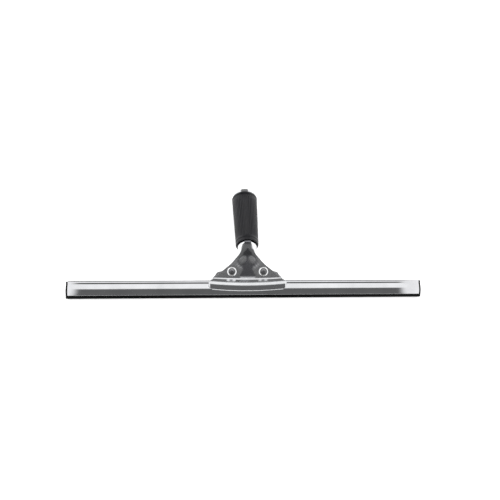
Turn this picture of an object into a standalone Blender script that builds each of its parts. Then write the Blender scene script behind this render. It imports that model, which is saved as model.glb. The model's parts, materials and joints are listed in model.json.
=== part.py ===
"""Window cleaning squeegee: a steel channel holding a rubber blade, clamped in the two-sheet jaw of a
rubber-sleeved tube handle.

Every piece is drawn in the blade's own frame: X along the blade, Y up the blade from its working edge,
Z out of the front of the jaw. The empty "squeegee_frame" turns and lifts that frame, so that the tool
lies on a table, front side up, on its blade edge and on the far end of its grip. The world's origin is the
middle of the object's box, at the table.
"""

import math

import bmesh
import bpy
from mathutils import Vector

MM = 0.001
OBJECT_NAME = "squeegee"
CLEARANCE = 0.3 * MM

# Blade: a rubber strip, as long as the channel, with a round bead that the channel holds.
RUBBER_THICKNESS = 2.4 * MM
BEAD_RADIUS = 2.9 * MM
RUBBER_EXPOSED = 4.0 * MM

# Channel: one folded sheet, a bulge round the bead and a small roll along its top.
CHANNEL_LENGTH = 445.4 * MM
CHANNEL_HEIGHT = 18.5 * MM
CHANNEL_SHEET = 0.8 * MM
CHANNEL_HALF_DEPTH = 4.3 * MM
BULGE_SAGITTA = 1.5 * MM
TOP_ROLL_RADIUS = 2.9 * MM
BEAD_HEIGHT = 6.7 * MM

# End clips: a moulded plate over each end of the channel, with a prong inside it.
CLIP_THICKNESS = 2.0 * MM
CLIP_INSET = 0.25 * MM
PRONG_LENGTH = 8.0 * MM
PRONG_HALF_WIDTH = 0.55 * MM

# Jaw: two formed sheets with the handle's flattened tongue between them.
TONGUE_THICKNESS = 2.4 * MM
TONGUE_HALF_WIDTH = 6.5 * MM
TONGUE_END = 11.6 * MM
TONGUE_REACH = 11.5 * MM
FRONT_SHEET = 1.2 * MM
REAR_SHEET = 1.5 * MM
JAW_HALF_LENGTH = 49.0 * MM
JAW_SWELL = 2.5 * MM
JAW_END_ROUND = 6.0 * MM
JAW_MIDDLE = -5.0 * MM
JAW_CAP_RADIUS = 6.5 * MM
FRONT_BOW = 2.5 * MM
PAD_HALF_LENGTH = 41.0 * MM
PAD_THICKNESS = 1.9 * MM
LIP_GAP = 0.3 * MM
PAD_GAP = 0.15 * MM
TIP_PLACE = 8.0 * MM

# Clamp screws, their cup washers, and the lock washers and nuts behind the jaw.
SCREW_SPACING = 40.0 * MM
SCREW_HEIGHT = 10.6 * MM
SCREW_DIAMETER = 5.0 * MM
SCREW_BEHIND = 10.5 * MM
SCREW_SWING = 0.9 * MM
HEAD_DIAMETER = 8.0 * MM
HEAD_HEIGHT = 1.7 * MM
RECESS_WIDTH = 0.9 * MM
RECESS_SPAN = 4.6 * MM
RECESS_DEPTH = 1.1 * MM
CUP_DIAMETER = 12.0 * MM
CUP_HEIGHT = 2.8 * MM
CUP_FLOOR = 0.8 * MM
LOCK_WASHER_DIAMETER = 9.2 * MM
LOCK_WASHER_THICKNESS = 1.2 * MM
NUT_FLATS = 8.0 * MM
NUT_THICKNESS = 4.0 * MM

# Rivets that hold the tongue to the rear sheet.
RIVET_DIAMETER = 4.0 * MM
RIVET_HEAD_DIAMETER = 7.2 * MM
RIVET_HEAD_HEIGHT = 1.5 * MM
RIVET_HEIGHTS = {"lower": 16.6 * MM, "upper": 25.0 * MM}

# Handle: a tube that widens to its open far end, bent back from the blade's plane at the neck.
HANDLE_BEND = math.radians(32.0)
BEND_HEIGHT = 40.6 * MM
TUBE_SHOWING = 6.0 * MM
TUBE_RADIUS = 12.2 * MM
TUBE_END_RADIUS = 14.9 * MM
TUBE_WALL = 1.2 * MM
SOCKET_START = 14.0 * MM
NECK_FLAT = 2.5 * MM

# Grip: a moulded rubber sleeve with a raised collar at each end.
GRIP_START = 4.0 * MM
GRIP_LENGTH = 78.0 * MM
GRIP_WALL = 1.6 * MM
COLLAR_RISE = 0.5 * MM
COLLAR_LENGTH = 6.0 * MM

ROUND_STEPS = 40
SMALL_STEPS = 24
JAW_COLUMNS = 20

# Places that follow from the sizes above.
CHANNEL_TOP = RUBBER_EXPOSED + CHANNEL_HEIGHT
BEAD_CENTRE = RUBBER_EXPOSED + BEAD_HEIGHT
ROLL_CENTRE = CHANNEL_TOP - TOP_ROLL_RADIUS
FRONT_PLANE = TONGUE_THICKNESS / 2 + CLEARANCE + FRONT_SHEET / 2
REAR_PLANE = TONGUE_THICKNESS / 2 + CLEARANCE + REAR_SHEET / 2
FRONT_FACE = FRONT_PLANE + FRONT_SHEET / 2
REAR_FACE = REAR_PLANE + REAR_SHEET / 2
CUP_SEAT = FRONT_FACE + CLEARANCE
LOCK_WASHER_TOP = REAR_FACE + CLEARANCE
NUT_TOP = LOCK_WASHER_TOP + LOCK_WASHER_THICKNESS + CLEARANCE
SCREW_PLACE = CHANNEL_TOP + SCREW_HEIGHT
BEND_PLACE = CHANNEL_TOP + BEND_HEIGHT
GRIP_END = GRIP_START + GRIP_LENGTH
TUBE_LENGTH = GRIP_END + TUBE_SHOWING
HANDLE_ALONG = Vector((0.0, math.cos(HANDLE_BEND), -math.sin(HANDLE_BEND)))
HANDLE_FRONT = Vector((0.0, math.sin(HANDLE_BEND), math.cos(HANDLE_BEND)))
BEND_POINT = Vector((0.0, BEND_PLACE, 0.0))


# ---------------------------------------------------------------- scene and materials


def clear_scene():
    """Remove whatever the file holds, so that the model stands alone."""
    for obj in list(bpy.data.objects):
        bpy.data.objects.remove(obj, do_unlink=True)


def new_collection(name):
    """Return a new collection of this name, linked to the scene."""
    collection = bpy.data.collections.new(name)
    bpy.context.scene.collection.children.link(collection)
    return collection


def new_material(name, colour, roughness, metallic=0.0):
    """Return a Principled material with this colour, roughness and metallic value."""
    material = bpy.data.materials.new(name)
    material.use_nodes = True
    shader = material.node_tree.nodes["Principled BSDF"]
    shader.inputs["Base Color"].default_value = (*colour, 1.0)
    shader.inputs["Roughness"].default_value = roughness
    shader.inputs["Metallic"].default_value = metallic
    return material


class Workshop:
    """The collections, the frame empty and the materials that every piece is made with."""

    def __init__(self):
        self.parts = new_collection(OBJECT_NAME)
        self.cutters = new_collection("cutters")
        self.frame = bpy.data.objects.new(OBJECT_NAME + "_frame", None)
        self.parts.objects.link(self.frame)
        self.steel = new_material("stainless_steel", (0.62, 0.63, 0.64), 0.22, 1.0)
        self.bright_steel = new_material("polished_steel", (0.78, 0.78, 0.79), 0.1, 1.0)
        self.zinc = new_material("plated_steel", (0.55, 0.56, 0.58), 0.3, 1.0)
        self.grip_rubber = new_material("grip_rubber", (0.025, 0.025, 0.028), 0.55)
        self.blade_rubber = new_material("blade_rubber", (0.012, 0.012, 0.012), 0.45)
        self.clip_plastic = new_material("clip_plastic", (0.02, 0.02, 0.02), 0.4)


def place(shop, obj, origin, turn=0.0):
    """Hang an object on the frame at this origin, turned about the blade's X axis."""
    obj.parent = shop.frame
    obj.location = origin
    obj.rotation_euler = (turn, 0.0, 0.0)


def finish_mesh(bm, name, material, flat=False):
    """Turn a bmesh into a mesh object, smooth except at its sharp edges."""
    bmesh.ops.recalc_face_normals(bm, faces=bm.faces)
    mesh = bpy.data.meshes.new(name)
    bm.to_mesh(mesh)
    bm.free()
    if not flat:
        mesh.shade_smooth()
        mesh.set_sharp_from_angle(angle=math.radians(32.0))
    mesh.materials.append(material)
    return bpy.data.objects.new(name, mesh)


def add_part(shop, bm, name, material, origin=(0.0, 0.0, 0.0)):
    """Add a bmesh drawn in the blade's frame as a part with this origin."""
    bmesh.ops.translate(bm, verts=bm.verts, vec=-Vector(origin))
    obj = finish_mesh(bm, name, material)
    shop.parts.objects.link(obj)
    place(shop, obj, origin)
    return obj


def add_cutter(shop, bm, name, origin=(0.0, 0.0, 0.0), turn=0.0):
    """Add a bmesh as a hidden helper for a Boolean."""
    obj = finish_mesh(bm, name, shop.zinc, flat=True)
    obj.hide_render = True
    obj.display_type = "WIRE"
    shop.cutters.objects.link(obj)
    place(shop, obj, origin, turn)
    return obj


def cut(part, cutter, operation="DIFFERENCE"):
    """Cut a part with a helper, or join them."""
    modifier = part.modifiers.new(operation.lower() + "_" + cutter.name, "BOOLEAN")
    modifier.operation = operation
    modifier.solver = "EXACT"
    modifier.object = cutter


def drill(shop, part, radius, place_xy, depth=30.0 * MM):
    """Drill a hole square to the blade's plane, centred on it."""
    bm = bmesh.new()
    bmesh.ops.create_cone(
        bm, cap_ends=True, segments=SMALL_STEPS, radius1=radius, radius2=radius, depth=depth
    )
    cutter = add_cutter(shop, bm, part.name + "_drill", (*place_xy, 0.0))
    cut(part, cutter)


# ---------------------------------------------------------------- shapes


def arc(centre, radius, start, end, steps):
    """Points on an arc, by angle from the first axis to the second."""
    angles = [start + (end - start) * i / steps for i in range(steps + 1)]
    return [
        (centre[0] + radius * math.cos(a), centre[1] + radius * math.sin(a)) for a in angles
    ]


def smooth_through(points, steps):
    """Points on a smooth line through these ones, with this many steps between each two."""
    points = [Vector(p) for p in points]
    padded = [2 * points[0] - points[1], *points, 2 * points[-1] - points[-2]]
    line = []
    for before, start, end, after in zip(padded, padded[1:], padded[2:], padded[3:]):
        for i in range(steps):
            t = i / steps
            line.append(
                0.5
                * (
                    2 * start
                    + (end - before) * t
                    + (2 * before - 5 * start + 4 * end - after) * t**2
                    + (3 * start - before - 3 * end + after) * t**3
                )
            )
    return [*line, points[-1]]


def bar(section, half_length):
    """A bar along X with this closed (y, z) section."""
    bm = bmesh.new()
    verts = [bm.verts.new((-half_length, y, z)) for y, z in section]
    face = bm.faces.new(verts)
    made = bmesh.ops.extrude_face_region(bm, geom=[face])
    moved = [g for g in made["geom"] if isinstance(g, bmesh.types.BMVert)]
    bmesh.ops.translate(bm, verts=moved, vec=(2 * half_length, 0.0, 0.0))
    return bm


def turned(shop, name, profile, material, origin, turn=0.0, steps=SMALL_STEPS, closed=False):
    """A turned part: a profile of (radius, height) points that runs down its outer side."""
    bm = bmesh.new()
    verts = [bm.verts.new((radius, 0.0, height)) for radius, height in profile]
    pairs = list(zip(verts, verts[1:]))
    if closed:
        pairs.append((verts[-1], verts[0]))
    for pair in pairs:
        bm.edges.new(pair)
    mesh = bpy.data.meshes.new(name)
    bm.to_mesh(mesh)
    bm.free()
    mesh.materials.append(material)
    obj = bpy.data.objects.new(name, mesh)
    shop.parts.objects.link(obj)
    place(shop, obj, origin, turn)
    screw = obj.modifiers.new("turn", "SCREW")
    screw.steps = steps
    screw.render_steps = steps
    screw.use_merge_vertices = True
    screw.merge_threshold = 0.00001
    screw.use_smooth_shade = True
    return obj


# ---------------------------------------------------------------- blade and channel


def bulge_half_depth(y):
    """Half the channel's outer depth at this height, below its top roll."""
    rise = BEAD_CENTRE - RUBBER_EXPOSED
    radius = (rise**2 + BULGE_SAGITTA**2) / (2 * BULGE_SAGITTA)
    return CHANNEL_HALF_DEPTH - radius + math.sqrt(radius**2 - (y - BEAD_CENTRE) ** 2)


def roll_half_depth(y):
    """Half the top roll's outer depth at this height."""
    return math.sqrt(max(TOP_ROLL_RADIUS**2 - (y - ROLL_CENTRE) ** 2, 0.0))


def channel_crease():
    """The height at which the bulge meets the top roll."""
    low, high = BEAD_CENTRE, ROLL_CENTRE
    for _ in range(40):
        middle = (low + high) / 2
        if bulge_half_depth(middle) > roll_half_depth(middle):
            low = middle
        else:
            high = middle
    return low


def channel_outline():
    """The channel's outer (y, z) line, from its front lip over the top roll to its rear lip."""
    crease = channel_crease()
    steps = 10
    rise = (crease - RUBBER_EXPOSED) / steps
    front = [
        (RUBBER_EXPOSED + i * rise, bulge_half_depth(RUBBER_EXPOSED + i * rise))
        for i in range(steps + 1)
    ]
    open_angle = math.atan2(roll_half_depth(crease), crease - ROLL_CENTRE)
    roll = arc((ROLL_CENTRE, 0.0), TOP_ROLL_RADIUS, open_angle, -open_angle, 14)[1:-1]
    rear = [(y, -z) for y, z in reversed(front)]
    return front + roll + rear


def make_channel(shop):
    """The folded steel channel: an open ribbon along X, given its sheet thickness inwards."""
    bm = bmesh.new()
    line = [bm.verts.new((-CHANNEL_LENGTH / 2, y, z)) for y, z in channel_outline()]
    edges = [bm.edges.new(pair) for pair in zip(line, line[1:])]
    made = bmesh.ops.extrude_edge_only(bm, edges=edges)
    moved = [g for g in made["geom"] if isinstance(g, bmesh.types.BMVert)]
    bmesh.ops.translate(bm, verts=moved, vec=(CHANNEL_LENGTH, 0.0, 0.0))
    channel = add_part(shop, bm, "channel", shop.steel, (0.0, BEAD_CENTRE, 0.0))
    top = max(channel.data.polygons, key=lambda face: face.center.y)
    sheet = channel.modifiers.new("sheet", "SOLIDIFY")
    sheet.thickness = CHANNEL_SHEET
    sheet.offset = -1.0 if top.normal.y > 0 else 1.0
    sheet.use_even_offset = True


def make_rubber_blade(shop):
    """The rubber strip: a flat blade with the round bead that the channel holds."""
    half = RUBBER_THICKNESS / 2
    neck = math.asin(half / BEAD_RADIUS)
    bead = arc((BEAD_CENTRE, 0.0), BEAD_RADIUS, math.pi - neck, neck - math.pi, 22)
    section = [(0.0, half), *bead, (0.0, -half)]
    add_part(shop, bar(section, CHANNEL_LENGTH / 2), "rubber_blade", shop.blade_rubber)


def make_end_clip(shop, name, side):
    """A moulded plate over one end of the channel, with a prong that fits inside its crease."""
    low_half = RUBBER_THICKNESS / 2 - CLIP_INSET
    top = CHANNEL_TOP - TOP_ROLL_RADIUS / 3
    half_line = [
        (CLIP_INSET, low_half),
        (RUBBER_EXPOSED, bulge_half_depth(RUBBER_EXPOSED) - CLIP_INSET),
        (BEAD_CENTRE, CHANNEL_HALF_DEPTH - CLIP_INSET),
        (channel_crease(), bulge_half_depth(channel_crease()) - CLIP_INSET),
        (ROLL_CENTRE, TOP_ROLL_RADIUS - CLIP_INSET),
        (top, roll_half_depth(top) - CLIP_INSET),
    ]
    section = half_line + [(y, -z) for y, z in reversed(half_line)]
    inner = CHANNEL_LENGTH / 2 + CLEARANCE
    bm = bar(section, CLIP_THICKNESS / 2)
    bmesh.ops.translate(bm, verts=bm.verts, vec=(side * (inner + CLIP_THICKNESS / 2), 0.0, 0.0))
    origin = (side * inner, BEAD_CENTRE, 0.0)
    clip = add_part(shop, bm, name, shop.clip_plastic, origin)

    prong_low = BEAD_CENTRE + BEAD_RADIUS + 2 * CLEARANCE
    prong_high = CHANNEL_TOP - CHANNEL_SHEET - 2 * CLEARANCE
    corners = [
        (prong_low, PRONG_HALF_WIDTH),
        (prong_high, PRONG_HALF_WIDTH),
        (prong_high, -PRONG_HALF_WIDTH),
        (prong_low, -PRONG_HALF_WIDTH),
    ]
    reach = PRONG_LENGTH + CLIP_THICKNESS / 2
    bm = bar(corners, reach / 2)
    middle = inner + CLIP_THICKNESS / 2 - reach / 2
    bmesh.ops.translate(bm, verts=bm.verts, vec=(side * middle, 0.0, 0.0))
    cut(clip, add_cutter(shop, bm, name + "_prong"), "UNION")


# ---------------------------------------------------------------- handle


def tube_radius(along):
    """The tube's outer radius at this distance along the handle from the bend."""
    return TUBE_RADIUS + (TUBE_END_RADIUS - TUBE_RADIUS) * along / TUBE_LENGTH


def handle_point(along, out):
    """A point of the handle's middle plane: along the tube, and out to its front side."""
    return BEND_POINT + along * HANDLE_ALONG + out * HANDLE_FRONT


def neck_sections():
    """Sections from the flat tongue to the round tube: centre, lean, half width, half depth, squareness."""
    half = TONGUE_THICKNESS / 2
    tongue_low = CHANNEL_TOP + TONGUE_END
    tongue_top = BEND_PLACE - TONGUE_REACH
    sections = [
        (Vector((0.0, tongue_low, 0.0)), 0.0, TONGUE_HALF_WIDTH, half, 5.0),
        (Vector((0.0, tongue_top, 0.0)), 0.0, TONGUE_HALF_WIDTH, half, 5.0),
    ]
    growth = (
        (-6.5, -0.6, 0.25, 0.45, 0.11, 3.0),
        (-3.0, -1.2, 0.56, 0.80, 0.39, 2.4),
        (0.0, -1.4, 0.84, 0.97, 0.69, 2.15),
    )
    for along, out, lean_share, width_share, depth_share, squareness in growth:
        width = TONGUE_HALF_WIDTH + (TUBE_RADIUS - TONGUE_HALF_WIDTH) * width_share
        depth = half + (TUBE_RADIUS - NECK_FLAT / 2 - half) * depth_share
        centre = BEND_POINT + Vector((0.0, along * MM, out * MM))
        sections.append((centre, HANDLE_BEND * lean_share, width, depth, squareness))
    flat = NECK_FLAT / 2
    for along, share in ((3.0 * MM, 1.0), (TIP_PLACE + 1.0 * MM, 0.9)):
        radius = tube_radius(along)
        centre = handle_point(along, -flat * share + 0.1 * MM)
        sections.append((centre, HANDLE_BEND, radius, radius - flat * share, 2.0))
    for along in (SOCKET_START, TUBE_LENGTH):
        radius = tube_radius(along)
        sections.append((handle_point(along, 0.0), HANDLE_BEND, radius, radius, 2.0))
    return sections


def squared(value, squareness):
    """A sine or cosine bent towards the side of a square."""
    return math.copysign(abs(value) ** (2 / squareness), value)


def make_handle_tube(shop):
    """The handle: a tube with an open socket at its far end, pressed flat into a tongue at its neck."""
    bm = bmesh.new()
    rings = []
    for centre, lean, width, depth, squareness in neck_sections():
        front = Vector((0.0, math.sin(lean), math.cos(lean)))
        ring = []
        for i in range(ROUND_STEPS):
            angle = 2 * math.pi * i / ROUND_STEPS
            across = Vector((width * squared(math.sin(angle), squareness), 0.0, 0.0))
            outward = front * depth * squared(math.cos(angle), squareness)
            ring.append(bm.verts.new(centre + across + outward))
        rings.append(ring)
    for low, high in zip(rings, rings[1:]):
        for i in range(ROUND_STEPS):
            j = (i + 1) % ROUND_STEPS
            bm.faces.new((low[i], low[j], high[j], high[i]))
    bm.faces.new(rings[0])
    bm.faces.new(rings[-1])
    tube = add_part(shop, bm, "handle_tube", shop.bright_steel, BEND_POINT)

    past_end = 2.0 * MM
    reach = TUBE_LENGTH + past_end - SOCKET_START
    bm = bmesh.new()
    bmesh.ops.create_cone(
        bm,
        cap_ends=True,
        segments=ROUND_STEPS,
        radius1=tube_radius(SOCKET_START) - TUBE_WALL,
        radius2=tube_radius(TUBE_LENGTH + past_end) - TUBE_WALL,
        depth=reach,
    )
    middle = handle_point(SOCKET_START + reach / 2, 0.0)
    cut(tube, add_cutter(shop, bm, "socket_bore", middle, -math.pi / 2 - HANDLE_BEND))
    for height in RIVET_HEIGHTS.values():
        drill(shop, tube, RIVET_DIAMETER / 2 + CLEARANCE, (0.0, CHANNEL_TOP + height), 8.0 * MM)


def make_grip_sleeve(shop):
    """The rubber sleeve: it follows the tube, with a raised collar at each end."""
    round_off = GRIP_WALL * 0.45
    rises = [
        (0.0, -round_off),
        (0.8 * MM, COLLAR_RISE * 0.2),
        (COLLAR_LENGTH * 0.4, COLLAR_RISE),
        (COLLAR_LENGTH * 0.8, COLLAR_RISE * 0.9),
        (COLLAR_LENGTH, 0.0),
    ]
    ends = [(GRIP_START + along, rise) for along, rise in rises]
    ends += [(GRIP_END - along, rise) for along, rise in reversed(rises)]

    def bore(along):
        return tube_radius(along) + CLEARANCE

    outer = [(bore(along) + GRIP_WALL + rise, along) for along, rise in reversed(ends)]
    inner = [(bore(GRIP_START), GRIP_START), (bore(GRIP_END), GRIP_END)]
    turned(
        shop,
        "grip_sleeve",
        outer + inner,
        shop.grip_rubber,
        BEND_POINT,
        -math.pi / 2 - HANDLE_BEND,
        steps=ROUND_STEPS,
        closed=True,
    )


# ---------------------------------------------------------------- jaw


def jaw_roll(lip_depth, sheet):
    """The roll over the channel as (height above the channel's top, depth, half length) stations."""
    lip = lip_depth + sheet / 2
    high = lip + JAW_SWELL
    top = TOP_ROLL_RADIUS + CLEARANCE + sheet / 2 + 0.4 * MM
    stations = (
        (-11.0, lip),
        (-9.6, lip + JAW_SWELL * 0.64),
        (-6.8, high),
        (-3.8, lip + JAW_SWELL * 0.6),
        (-1.8, (lip + top) / 2 + 0.4 * MM),
        (0.0, top),
    )
    return [(height * MM, depth, capsule_half_length(height * MM)) for height, depth in stations]


def capsule_half_length(height):
    """Half the roll's length at this height above the channel's top: its ends are half circles."""
    away = min(abs(height - JAW_MIDDLE), JAW_CAP_RADIUS * 0.97)
    return JAW_HALF_LENGTH - JAW_CAP_RADIUS + math.sqrt(JAW_CAP_RADIUS**2 - away**2)


def jaw_sheet(shop, name, stations, sheet, side, bow, origin, neck_round=0.0):
    """A formed sheet: a grid whose rows follow the stations, bowed along the jaw and closed at its ends."""
    rows = smooth_through(stations, 2)
    last_row = len(rows) - 1
    lip_depth = CHANNEL_HALF_DEPTH + CLEARANCE + sheet / 2 + 0.1 * MM
    round_start = JAW_HALF_LENGTH - JAW_END_ROUND
    bm = bmesh.new()
    bmesh.ops.create_grid(bm, x_segments=JAW_COLUMNS, y_segments=last_row, size=1.0)
    for vert in bm.verts:
        height, depth, half_width = rows[round((vert.co.y + 1) / 2 * last_row)]
        x = vert.co.x * half_width
        if height < 0 and abs(x) > round_start and depth > lip_depth:
            past = (abs(x) - round_start) / JAW_END_ROUND
            depth = lip_depth + (depth - lip_depth) * math.sqrt(1.0 - 0.94 * past**2)
        fade = min(max(1.0 - height / (7.0 * MM), 0.0), 1.0)
        bowed = bow * fade * (1.0 - (x / JAW_HALF_LENGTH) ** 2)
        above_bend = max(height - BEND_HEIGHT + 4.0 * MM, 0.0)
        depth -= min(above_bend / (4.0 * MM), 1.0) * neck_round * x**2
        vert.co = (x, CHANNEL_TOP + height - bowed, side * depth)
    part = add_part(shop, bm, name, shop.steel, origin)
    thickness = part.modifiers.new("sheet", "SOLIDIFY")
    thickness.thickness = sheet
    thickness.offset = 0.0
    thickness.use_even_offset = True
    return part


def tongue_over_neck():
    """The front sheet's stations over the neck, up to its tip under the grip's lower edge."""
    stations = []
    widths = (9.6 * MM, 7.4 * MM, 5.2 * MM, 4.0 * MM)
    lift = (CLEARANCE + FRONT_SHEET / 2) * 1.2
    for (centre, lean, _, depth, _), width in zip(neck_sections()[2:6], widths):
        front = centre + depth * Vector((0.0, math.sin(lean), math.cos(lean)))
        stations.append((front.y - CHANNEL_TOP, front.z + lift, width))
    tip = front_tip()
    stations.append((tip.y - CHANNEL_TOP, tip.z, 3.7 * MM))
    return stations


def front_tip():
    """The tip of the front sheet, about which the jaw opens."""
    out = tube_radius(TIP_PLACE) - NECK_FLAT + (CLEARANCE + FRONT_SHEET / 2) * 1.3
    return handle_point(TIP_PLACE, out)


def make_front_clamp_plate(shop):
    """The front half of the jaw: a roll over the channel, and a plate that narrows to the neck."""
    plate = [
        (2.2 * MM, FRONT_PLANE + 0.8 * MM, 42.4 * MM),
        (5.1 * MM, FRONT_PLANE + 0.1 * MM, 37.2 * MM),
        (SCREW_HEIGHT, FRONT_PLANE, 32.2 * MM),
        (20.0 * MM, FRONT_PLANE, 22.0 * MM),
        (29.5 * MM, FRONT_PLANE, 13.4 * MM),
    ]
    roll = jaw_roll(CHANNEL_HALF_DEPTH + CLEARANCE + LIP_GAP, FRONT_SHEET)
    front = jaw_sheet(
        shop,
        "front_clamp_plate",
        roll + plate + tongue_over_neck(),
        FRONT_SHEET,
        1.0,
        FRONT_BOW,
        front_tip(),
        neck_round=0.022 / MM,
    )
    for side in (-1, 1):
        hole = SCREW_DIAMETER / 2 + SCREW_SWING
        drill(shop, front, hole, (side * SCREW_SPACING / 2, SCREW_PLACE), 14.0 * MM)


def make_rear_jaw_plate(shop):
    """The rear half of the jaw, riveted to the tongue, with a shoulder that stands past the front half."""
    plate = [
        (2.2 * MM, REAR_PLANE + 0.8 * MM, 43.4 * MM),
        (6.0 * MM, REAR_PLANE, 40.8 * MM),
        (SCREW_HEIGHT - 0.4 * MM, REAR_PLANE, 38.0 * MM),
        (SCREW_HEIGHT + 2.2 * MM, REAR_PLANE, 29.6 * MM),
        (20.0 * MM, REAR_PLANE, 20.0 * MM),
        (BEND_HEIGHT - 12.0 * MM, REAR_PLANE, 9.0 * MM),
    ]
    roll = jaw_roll(CHANNEL_HALF_DEPTH + CLEARANCE + LIP_GAP, REAR_SHEET)
    rear = jaw_sheet(
        shop,
        "rear_jaw_plate",
        roll + plate,
        REAR_SHEET,
        -1.0,
        0.0,
        (0.0, SCREW_PLACE, 0.0),
    )
    for side in (-1, 1):
        hole = SCREW_DIAMETER / 2 + CLEARANCE
        drill(shop, rear, hole, (side * SCREW_SPACING / 2, SCREW_PLACE), 14.0 * MM)
    for height in RIVET_HEIGHTS.values():
        hole = RIVET_DIAMETER / 2 + CLEARANCE
        drill(shop, rear, hole, (0.0, CHANNEL_TOP + height), 14.0 * MM)


def make_jaw_pad(shop, name, side):
    """A rubber strip that fills the space between a jaw's roll and the channel."""
    stations = ((-9.8, 0.45), (-8.0, 1.0), (-6.4, 0.95), (-5.3, 0.35))
    inner = []
    outer = []
    for height, share in stations:
        y = CHANNEL_TOP + height * MM
        depth = bulge_half_depth(y) + CLEARANCE + PAD_GAP
        inner.append((y, side * depth))
        outer.append((y, side * (depth + PAD_THICKNESS * share)))
    section = inner + list(reversed(outer))
    bm = bar(section, PAD_HALF_LENGTH)
    add_part(shop, bm, name, shop.blade_rubber, (0.0, CHANNEL_TOP - 8.0 * MM, 0.0))


# ---------------------------------------------------------------- fasteners


def make_cup_washer(shop, name, x):
    """A raised finishing washer: a bright ring with the screw's head sunk in it."""
    outer = CUP_DIAMETER / 2
    hole = SCREW_DIAMETER / 2 + CLEARANCE
    inner = HEAD_DIAMETER / 2 + CLEARANCE
    crest = (inner + outer) / 2 - 0.3 * MM
    profile = [
        (inner, CUP_HEIGHT * 0.86),
        (crest, CUP_HEIGHT),
        (outer - 0.5 * MM, CUP_HEIGHT * 0.74),
        (outer, CUP_HEIGHT * 0.3),
        (outer, 0.0),
        (hole, 0.0),
        (hole, CUP_FLOOR),
        (inner, CUP_FLOOR),
    ]
    origin = (x, SCREW_PLACE, CUP_SEAT)
    turned(shop, name, profile, shop.bright_steel, origin, closed=True, steps=32)


def make_clamp_screw(shop, name, x):
    """A round-headed screw with a cross recess; its shank stands for the thread's outer diameter."""
    head = HEAD_DIAMETER / 2
    shank = SCREW_DIAMETER / 2
    seat = CUP_FLOOR + CLEARANCE
    tail = -(CUP_SEAT + SCREW_BEHIND)
    profile = [
        (0.0, seat + HEAD_HEIGHT),
        (head * 0.6, seat + HEAD_HEIGHT * 0.93),
        (head * 0.88, seat + HEAD_HEIGHT * 0.72),
        (head, seat + HEAD_HEIGHT * 0.35),
        (head, seat),
        (shank, seat),
        (shank, tail + 0.6 * MM),
        (shank - 0.6 * MM, tail),
        (0.0, tail),
    ]
    origin = (x, SCREW_PLACE, CUP_SEAT)
    screw = turned(shop, name, profile, shop.zinc, origin)
    for i, (across, along) in enumerate(((RECESS_SPAN, RECESS_WIDTH), (RECESS_WIDTH, RECESS_SPAN))):
        bm = bmesh.new()
        bmesh.ops.create_cube(bm, size=1.0)
        bmesh.ops.scale(bm, vec=(across, along, 2 * RECESS_DEPTH), verts=bm.verts)
        top = (x, SCREW_PLACE, CUP_SEAT + seat + HEAD_HEIGHT)
        cut(screw, add_cutter(shop, bm, f"{name}_recess_{i}", top))


def make_lock_washer(shop, name, x):
    """A split spring washer between the rear sheet and the nut."""
    outer = LOCK_WASHER_DIAMETER / 2
    hole = SCREW_DIAMETER / 2 + CLEARANCE
    low = -LOCK_WASHER_THICKNESS
    profile = [(outer, 0.0), (outer, low), (hole, low), (hole, 0.0)]
    origin = (x, SCREW_PLACE, -LOCK_WASHER_TOP)
    washer = turned(shop, name, profile, shop.zinc, origin, closed=True)
    bm = bmesh.new()
    bmesh.ops.create_cube(bm, size=1.0)
    bmesh.ops.scale(bm, vec=(outer * 2, 0.6 * MM, 4 * LOCK_WASHER_THICKNESS), verts=bm.verts)
    split = (x + outer + hole / 3, SCREW_PLACE, -LOCK_WASHER_TOP)
    cut(washer, add_cutter(shop, bm, name + "_split", split))


def make_clamp_nut(shop, name, x):
    """A hexagon nut behind the rear sheet."""
    bm = bmesh.new()
    corner = NUT_FLATS / math.sqrt(3.0)
    bmesh.ops.create_cone(
        bm, cap_ends=True, segments=6, radius1=corner, radius2=corner, depth=NUT_THICKNESS
    )
    middle = (x, SCREW_PLACE, -(NUT_TOP + NUT_THICKNESS / 2))
    bmesh.ops.translate(bm, verts=bm.verts, vec=middle)
    nut = add_part(shop, bm, name, shop.zinc, middle)
    drill(shop, nut, SCREW_DIAMETER / 2 + CLEARANCE, (x, SCREW_PLACE))


def make_neck_rivet(shop, name, height):
    """A rivet with a domed head behind the rear sheet, flush with the tongue's front."""
    shank = RIVET_DIAMETER / 2
    head = RIVET_HEAD_DIAMETER / 2
    under = -(REAR_FACE + CLEARANCE)
    tail = under - RIVET_HEAD_HEIGHT
    profile = [
        (0.0, TONGUE_THICKNESS / 2),
        (shank, TONGUE_THICKNESS / 2),
        (shank, under),
        (head, under),
        (head * 0.86, under - RIVET_HEAD_HEIGHT * 0.55),
        (head * 0.5, under - RIVET_HEAD_HEIGHT * 0.9),
        (0.0, tail),
    ]
    turned(shop, name, profile, shop.zinc, (0.0, CHANNEL_TOP + height, 0.0))


# ---------------------------------------------------------------- rest position


def rest_angle():
    """The angle between the blade's plane and the table, with the blade's edge and the grip's end on it."""
    collar = GRIP_END - COLLAR_LENGTH * 0.4
    radius = tube_radius(collar) + CLEARANCE + GRIP_WALL + COLLAR_RISE
    touching = handle_point(collar, -radius)
    edge = -RUBBER_THICKNESS / 2
    return math.atan2(edge - touching.z, touching.y)


def box_corners(objects):
    """The lowest and highest corners of these objects' evaluated meshes in the world."""
    graph = bpy.context.evaluated_depsgraph_get()
    points = []
    for obj in objects:
        evaluated = obj.evaluated_get(graph)
        mesh = evaluated.to_mesh()
        points += [evaluated.matrix_world @ vert.co for vert in mesh.vertices]
        evaluated.to_mesh_clear()
    low = Vector([min(p[i] for p in points) for i in range(3)])
    high = Vector([max(p[i] for p in points) for i in range(3)])
    return low, high


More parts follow.
